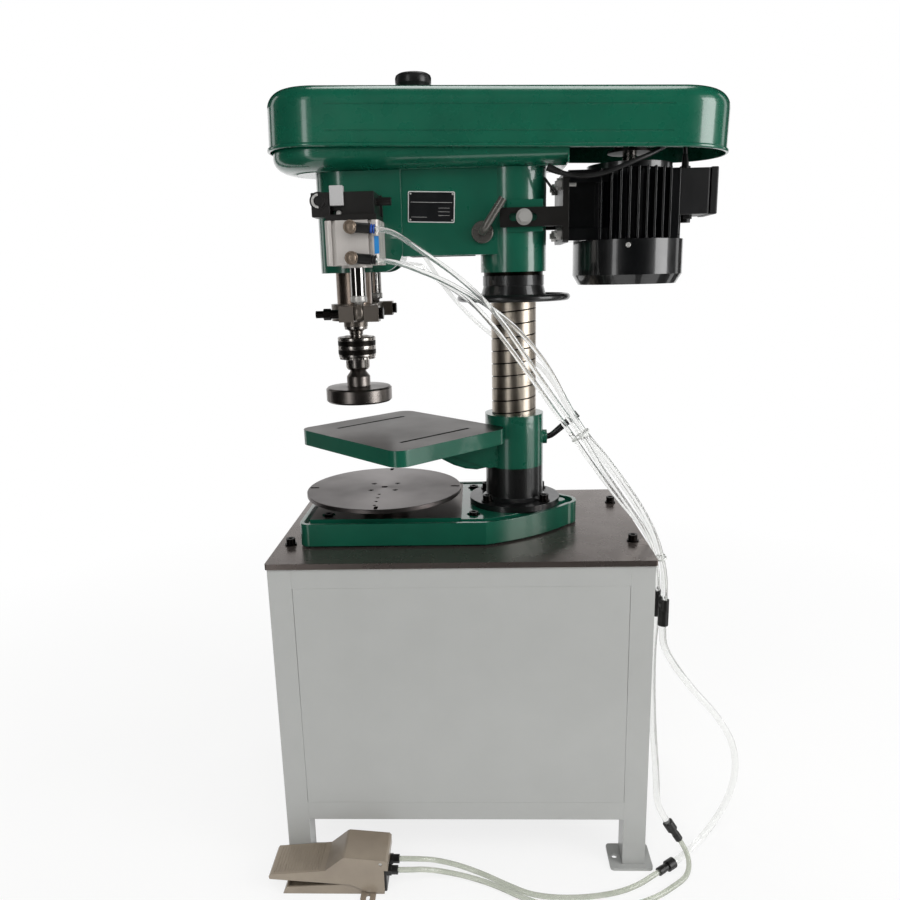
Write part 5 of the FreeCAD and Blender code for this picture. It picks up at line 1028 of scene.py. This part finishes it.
chuck_sleeve = turned("banded_chuck_sleeve", [
    (0.9078, 0.03), (0.9078, 0.0322), (0.9088, 0.0334), (0.9134, 0.0338), (0.914, 0.0328), (0.9214, 0.0328),
    (0.922, 0.0342), (0.929, 0.0342), (0.9296, 0.0328), (0.9374, 0.0328), (0.938, 0.0342), (0.9428, 0.0342),
    (0.9446, 0.0326), (0.9452, 0.0262),
], chuck_axis, steps=64)
dress(chuck_sleeve, chuck_steel, "spindle", stands_for="chuck_sleeve", edge=0.0003, segments=2)


def notched_ring(name, low, high, inner, outer, notches, depth, share):
    """A ring with notches round its outside, as gear teeth or straight knurling."""
    outline = []
    for notch in range(notches):
        for part, radius in ((0.0, outer), (1.0 - share, outer), (1.0 - share, outer - depth), (1.0, outer - depth)):
            angle = math.tau * (notch + part) / notches
            outline.append((radius * math.cos(angle), radius * math.sin(angle)))
    bore = [(x * inner / math.hypot(x, y), y * inner / math.hypot(x, y)) for x, y in outline]
    sides = ((outline, low), (outline, high), (bore, high), (bore, low))
    loops = [[(x, y, height) for x, y in line] for line, height in sides]
    piece = loft(name, loops, endless=True, capped=False, smooth=False)
    piece.data.transform(Matrix.Translation(Vector(chuck_axis)))
    return face_outwards(piece)


teeth = notched_ring("chuck_gear_teeth", 0.9046, 0.9082, 0.029, 0.0322, 30, 0.002, 0.45)
dress(teeth, chuck_steel, "spindle")
for number, low in enumerate((0.9141, 0.9297)):
    knurl = notched_ring("chuck_knurl_%d" % (number + 1), low, low + 0.0072, 0.0326, 0.0341, 110, 0.0006, 0.40)
    dress(knurl, knurled_band, "spindle")

key_way = Vector((-0.8, -0.6, 0.0))
key_hole = turned(
    "chuck_key_hole",
    [(-0.0008, 0.0036), (0.0002, 0.0036), (0.0002, 0.0028), (-0.0005, 0.0026), (-0.0005, 0.0004)],
    Vector((spindle_x, 0.0, 0.8985)) + chuck_body_radius * key_way, key_way, 24
)
dress(key_hole, black_oxide, "spindle")

# Nose of the quill above the chuck, and the hub of the die below it
quill_nose = turned("quill_nose", [
    (0.948, 0.0114), (0.95, 0.0122), (0.9545, 0.0128), (0.9575, 0.0172), (0.9578, 0.0205), (0.9632, 0.021),
    (0.9632, 0.011),
], chuck_axis)
dress(quill_nose, chuck_steel, "spindle", edge=0.0004, segments=2)
die_hub = turned("die_hub", [
    (0.853, 0.023), (0.8548, 0.0222), (0.8562, 0.0214), (0.8726, 0.0214), (0.88, 0.0156), (0.8838, 0.014),
    (0.8846, 0.006),
], chuck_axis, steps=64)
dress(die_hub, die_steel, "spindle", edge=0.0005, segments=2)


# Rod ends: an eye on the collar's ear and a plain nut under each piston rod

rod_y = 0.107
for side, side_name in ((-1, "near"), (1, "far")):
    eye = turned("%s_rod_eye" % side_name, [
        (-0.0083, 0.005), (-0.0082, 0.0112), (-0.0066, 0.0143), (-0.0035, 0.0155), (0.0035, 0.0155),
        (0.0066, 0.0143), (0.0082, 0.0112), (0.0083, 0.005),
    ], (cylinder_x, side * rod_y, 0.9918), (1.0, 0.0, 0.0))
    dress(eye, milled_steel, "quill", stands_for="rod_ends" if side < 0 else None)
    neck = turned("%s_rod_neck" % side_name, [
        (1.0, 0.006), (1.0, 0.0074), (1.007, 0.0074), (1.0085, 0.0104), (1.0088, 0.0128), (1.0098, 0.0136),
        (1.0178, 0.0136), (1.019, 0.0128), (1.0192, 0.006),
    ], (cylinder_x, side * rod_y, 0.0), steps=40)
    dress(neck, zinc_plate, "quill")


# Motor frame: cooling fins that stand square to the front and the sides, over its two feet

fin_reach = 0.088
fin_pitch = 0.014
fin_thickness = 0.0034
frame_low = 1.101
frame_high = 1.214
frame_core = 0.068
feet_x = 0.190
foot_half = 0.052
foot_height = 0.020
pad_half = 0.044


def finned_frame():
    corners, faces = [], []

    def block(x_low, x_high, y_low, y_high, z_low, z_high):
        first = len(corners)
        for z in (z_low, z_high):
            corners.extend(((x_low, y_low, z), (x_high, y_low, z), (x_high, y_high, z), (x_low, y_high, z)))
        for quad in ((3, 2, 1, 0), (4, 5, 6, 7), (0, 1, 5, 4), (1, 2, 6, 5), (2, 3, 7, 6), (3, 0, 4, 7)):
            faces.append(tuple(first + i for i in quad))

    half = fin_thickness / 2
    levels = (frame_low, frame_high)
    for row in range(-4, 5):
        offset = row * fin_pitch
        reach = math.sqrt(fin_reach ** 2 - offset ** 2)
        inside = math.sqrt(frame_core ** 2 - offset ** 2) - 0.002
        for low, high in ((-reach, -inside), (inside, reach)):
            block(motor_x + offset - half, motor_x + offset + half, low, high, *levels)
        if abs(row) < 4:
            for low, high in ((inside, reach), (-reach, -inside)):
                block(motor_x + low, motor_x + high, offset - half, offset + half, *levels)
    for low in (frame_low, frame_high - foot_height):
        block(feet_x, motor_x, -foot_half, foot_half, low, low + foot_height)
    pad_end = motor_x - frame_core + 0.004
    block(feet_x, pad_end, -pad_half, pad_half, frame_low + foot_height, frame_high - foot_height)
    return make_piece("motor_frame_fins", corners, faces, smooth=False)


dress(finned_frame(), black_enamel, "motor", stands_for="motor_frame", edge=0.0007, segments=2)
motor_core = turned("motor_frame_core", [
    (frame_low, frame_core - 0.004), (frame_low, frame_core), (frame_high, frame_core),
    (frame_high, frame_core - 0.004),
], (motor_x, 0.0, 0.0), steps=72)
dress(motor_core, black_enamel, "motor", edge=0.0006, segments=2)


# Knob on the cover: a flat moulded disc with a rounded rim

cover_knob = turned("flat_knob", [
    (1.3486, 0.027), (1.3494, 0.0282), (1.361, 0.0286), (1.362, 0.0296), (1.3645, 0.0304), (1.3735, 0.0305),
    (1.377, 0.0292), (1.379, 0.0262), (1.3799, 0.02), (1.3802, 0.002),
], (-0.066, 0.0, 0.0), steps=64)
dress(cover_knob, phenolic, "knob", stands_for="cover_knob")


# Clamp handle of the table: a bent bar that thickens to its bare end

handle_width = 0.015
handle_line = (
    (0.1415, 0.753), (0.156, 0.753), (0.163, 0.7534), (0.169, 0.7552), (0.1745, 0.759), (0.19, 0.7722),
    (0.205, 0.785), (0.2172, 0.7954),
)
handle_swell = (0.78, 0.78, 0.74, 0.72, 0.74, 0.82, 0.92, 1.0)
handle_points = [Vector((x, 0.0, z)) for x, z in handle_line]
handle = tube_mesh("table_clamp_bar", handle_points, handle_width, thickness=handle_swell)
dress(handle, black_casting, "table_handle", stands_for="table_clamp_handle", edge=0.0006, segments=2)
handle_end = turned(
    "table_clamp_bar_end", [(0.0, 0.0068), (0.0005, 0.0066), (0.0007, 0.006), (0.0007, 0.0004)],
    handle_points[-1], (handle_points[-1] - handle_points[-2]).normalized(), 32
)
dress(handle_end, blasted_alloy, "table_handle")


# Rounded belly of the arm that carries the table

arm_swing = 15.5
belly_half = 0.029
belly_line = [
    (-0.056, 0.706), (-0.08, 0.703), (-0.101, 0.7065), (-0.123, 0.715), (-0.142, 0.726), (-0.156, 0.7375),
    (-0.1, 0.7385), (-0.056, 0.73),
]
belly = slab("arm_belly", belly_line, -belly_half, belly_half, standing((column_x, 0.0, 0.0), turn=arm_swing))
dress(belly, cast_enamel, "bracket", edge=0.005, segments=5)


# Square block round the hub of the near bracket, and the strut behind the head's sleeve

hub_block = slab(
    "hub_block", rounded_outline(0.029, 0.037, 0.0016, 3), -0.03, 0.0052,
    standing((-0.2085, bracket_front, 1.1615))
)
dress(hub_block, phosphated, "head", edge=0.0008)

strut_points = [Vector((0.15, -0.06, 1.202)), Vector((0.1605, -0.06, 1.188)), Vector((0.171, -0.06, 1.174))]
dress(tube_mesh("strut_beside_head", strut_points, 0.0042, steps=12), phosphated, "motor")


# Second tie, close above the unions.

low_tie_height = 0.580
low_tie = tie_round("tie_above_unions", (lower_near_points, upper_far_points), low_tie_height)
low_tie.data.materials.append(clear_nylon)
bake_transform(low_tie)


# Belt pan: pressed from one sheet, so its floor turns up into the wall in a wide curve

pan_centre = -0.225
pan_half = 0.086
pan_right = 0.188
pan_sheet = 0.0025
pan_levels = (
    (1.268, 0.0), (1.248, 0.0), (1.242, 0.001), (1.236, 0.0042), (1.2305, 0.01), (1.2262, 0.0185),
    (1.2234, 0.0285), (1.2222, 0.038),
)


def pan_line(inset):
    """The pan's outline from its open right end round the left end and back."""
    reach = pan_half - inset
    run = [pan_right + (pan_centre - pan_right) * cut / 9 for cut in range(9)]
    points = [(x, -reach) for x in run]
    for cut in range(33):
        angle = math.radians(270 - 180 * cut / 32)
        points.append((pan_centre + reach * math.cos(angle), reach * math.sin(angle)))
    return points + [(x, reach) for x in reversed(run)]


def rounded_pan():
    inner = [(max(height, pan_levels[-1][0] + pan_sheet), inset + pan_sheet) for height, inset in pan_levels]
    loops = list(reversed(pan_levels)) + inner
    corners = [(x, y, height) for height, inset in loops for x, y in pan_line(inset)]
    count = len(pan_line(0.0))
    faces = []
    for row in range(len(loops) - 1):
        for i in range(count - 1):
            low, high = row * count + i, (row + 1) * count + i
            faces.append((low, low + 1, high + 1, high))
    last = (len(loops) - 1) * count
    faces += [tuple(range(count)), tuple(range(last, last + count))]
    piece = make_piece("rounded_belt_pan", corners, faces)
    piece.data.polygons.foreach_set("use_smooth", [len(face.vertices) < 5 for face in piece.data.polygons])
    return piece


dress(rounded_pan(), sheet_enamel, "head", stands_for="belt_pan")
pan_end = slab(
    "pan_end_wall", rounded_outline(0.166, 0.014, 0.002, 3), 0.0, pan_sheet,
    standing((pan_right - pan_sheet, 0.0, 1.2295), turn=90)
)
dress(pan_end, sheet_enamel, "head", edge=0.0005, segments=2)


# Floor, backdrop light and lamps

floor_reach = 14.0
room_reach = 3.1
room_high = 3.3
mat_reach = 0.80
mat_height = 0.001
below_floor = -0.2
back_opening = 1.95
dark_spans = (
    (-24.0, 50.0, below_floor), (82.0, 106.0, below_floor), (116.0, 136.0, below_floor),
    (136.0, 230.0, back_opening), (230.0, 240.0, below_floor), (252.0, 323.0, below_floor),
)


def seen_or_mirrored(material):
    """1 for what the camera, metal or glass sees, and 0 for what lights the scene."""
    rays = add(material, "LightPath", {}).outputs
    seen = add(material, "Math", {0: rays["Is Camera Ray"], 1: rays["Is Glossy Ray"]}, operation="MAXIMUM")
    return add(material, "Math", {0: seen, 1: rays["Is Transmission Ray"]}, operation="MAXIMUM")


def studio_floor():
    """A plain pale floor. Towards the camera it is white, and it keeps the shadow."""
    corners = [(x * floor_reach, y * floor_reach, 0.0) for x, y in ((-1, -1), (1, -1), (1, 1), (-1, 1))]
    floor = make_piece("studio_floor", corners, [(0, 1, 2, 3)], smooth=False)
    material, shader, place = new_finish("pale_studio_floor")
    set_sockets(material, shader, {
        "Base Color": mottled(material, place, 400.0, "#F2F2F0", "#EDEDEB"),
        "Roughness": 0.9,
    })
    white = add(material, "Emission", {"Color": (1.0, 1.0, 1.0, 1.0), "Strength": 1.0})
    away = add(material, "VectorMath", {0: place}, operation="LENGTH").outputs["Value"]
    fade = add(material, "MapRange", {
        "Value": away, "From Min": 0.7, "From Max": 2.0, "To Min": 0.80, "To Max": 1.0,
    })
    share = add(material, "Math", {0: seen_or_mirrored(material), 1: fade}, operation="MULTIPLY")
    mix = add(material, "MixShader", {0: share, 1: shader, 2: white})
    set_sockets(material, material.node_tree.nodes["Material Output"], {"Surface": mix})
    floor.data.materials.append(material)


def studio_world():
    """A plain grey surround for the light, white where the camera, metal or glass sees it."""
    world = bpy.data.worlds.new("studio")
    world.use_nodes = True
    scene.world = world
    strength = add(world, "MapRange", {"Value": seen_or_mirrored(world), "To Min": 0.40, "To Max": 1.0})
    set_sockets(world, world.node_tree.nodes["Background"], {
        "Color": (1.0, 1.0, 1.0, 1.0), "Strength": strength,
    })


def round_the_room(bearing, reach, height):
    """A point in the room: bearing is in degrees from the camera's side towards the right."""
    angle = math.radians(bearing)
    return (reach * math.sin(angle), -reach * math.cos(angle), height)


def lamp(name, place, aim_height, width, height, power, shows=True):
    """A soft rectangular lamp aimed at the middle. shows is off for a fill that gloss doesn't mirror."""
    data = bpy.data.lights.new(name, "AREA")
    data.shape = "RECTANGLE"
    data.size = width
    data.size_y = height
    data.energy = power
    light = bpy.data.objects.new(name, data)
    light.location = place
    light.rotation_euler = (Vector((0.0, 0.0, aim_height)) - Vector(place)).to_track_quat("-Z", "Y").to_euler()
    light.visible_glossy = shows
    scene.collection.objects.link(light)


def dark_room():
    """Dark felt round the set, open at the lamps. Only metal and gloss see it, as in a plain studio."""
    corners, faces = [], []

    def strip(first, last, cuts, one_edge, other_edge):
        start = len(corners)
        for cut in range(cuts + 1):
            bearing = first + (last - first) * cut / cuts
            corners.extend((round_the_room(bearing, *one_edge), round_the_room(bearing, *other_edge)))
        for low in range(start, start + 2 * cuts, 2):
            faces.append((low, low + 2, low + 3, low + 1))

    for first, last, wall_foot in dark_spans:
        strip(first, last, 12, (room_reach, wall_foot), (room_reach, room_high))
        if wall_foot <= 0.0:
            strip(first, last, 16, (mat_reach, mat_height), (room_reach, mat_height))
    cuts = 48
    start = len(corners)
    corners += [round_the_room(360 * cut / cuts, room_reach, room_high) for cut in range(cuts)]
    faces.append(tuple(range(start, start + cuts)))
    felt = make_piece("dark_felt_room", corners, faces, smooth=False)
    material, shader, place = new_finish("dark_felt")
    set_sockets(material, shader, {
        "Base Color": mottled(material, place, 300.0, "#12100F", "#0C0B0A"),
        "Roughness": 1.0,
    })
    felt.data.materials.append(material)
    felt.visible_camera = False
    felt.visible_diffuse = False
    felt.visible_shadow = False
    felt.visible_transmission = False


studio_floor()
studio_world()
dark_room()
lamp("window_lamp_right", round_the_room(66.0, 2.9, 1.3), 0.9, 1.4, 2.2, 40.0)
lamp("window_lamp_left", round_the_room(-31.0, 2.9, 1.3), 0.9, 0.4, 2.2, 6.0)
lamp("fill_lamp", (-0.6, -2.9, 2.3), 0.7, 2.4, 1.8, 18.0, shows=False)
lamp("side_fill_lamp", (2.2, -1.6, 2.2), 0.8, 1.6, 1.6, 16.0, shows=False)
lamp("back_fill_lamp", (-1.2, 2.6, 2.3), 0.6, 2.4, 1.6, 22.0, shows=False)
lamp("front_top_lamp", (0.1, -2.1, 3.05), 0.9, 1.8, 0.9, 20.0, shows=False)
lamp("top_lamp", (0.2, 0.5, 3.1), 0.6, 1.6, 1.0, 14.0)

scene.view_settings.view_transform = "Standard"
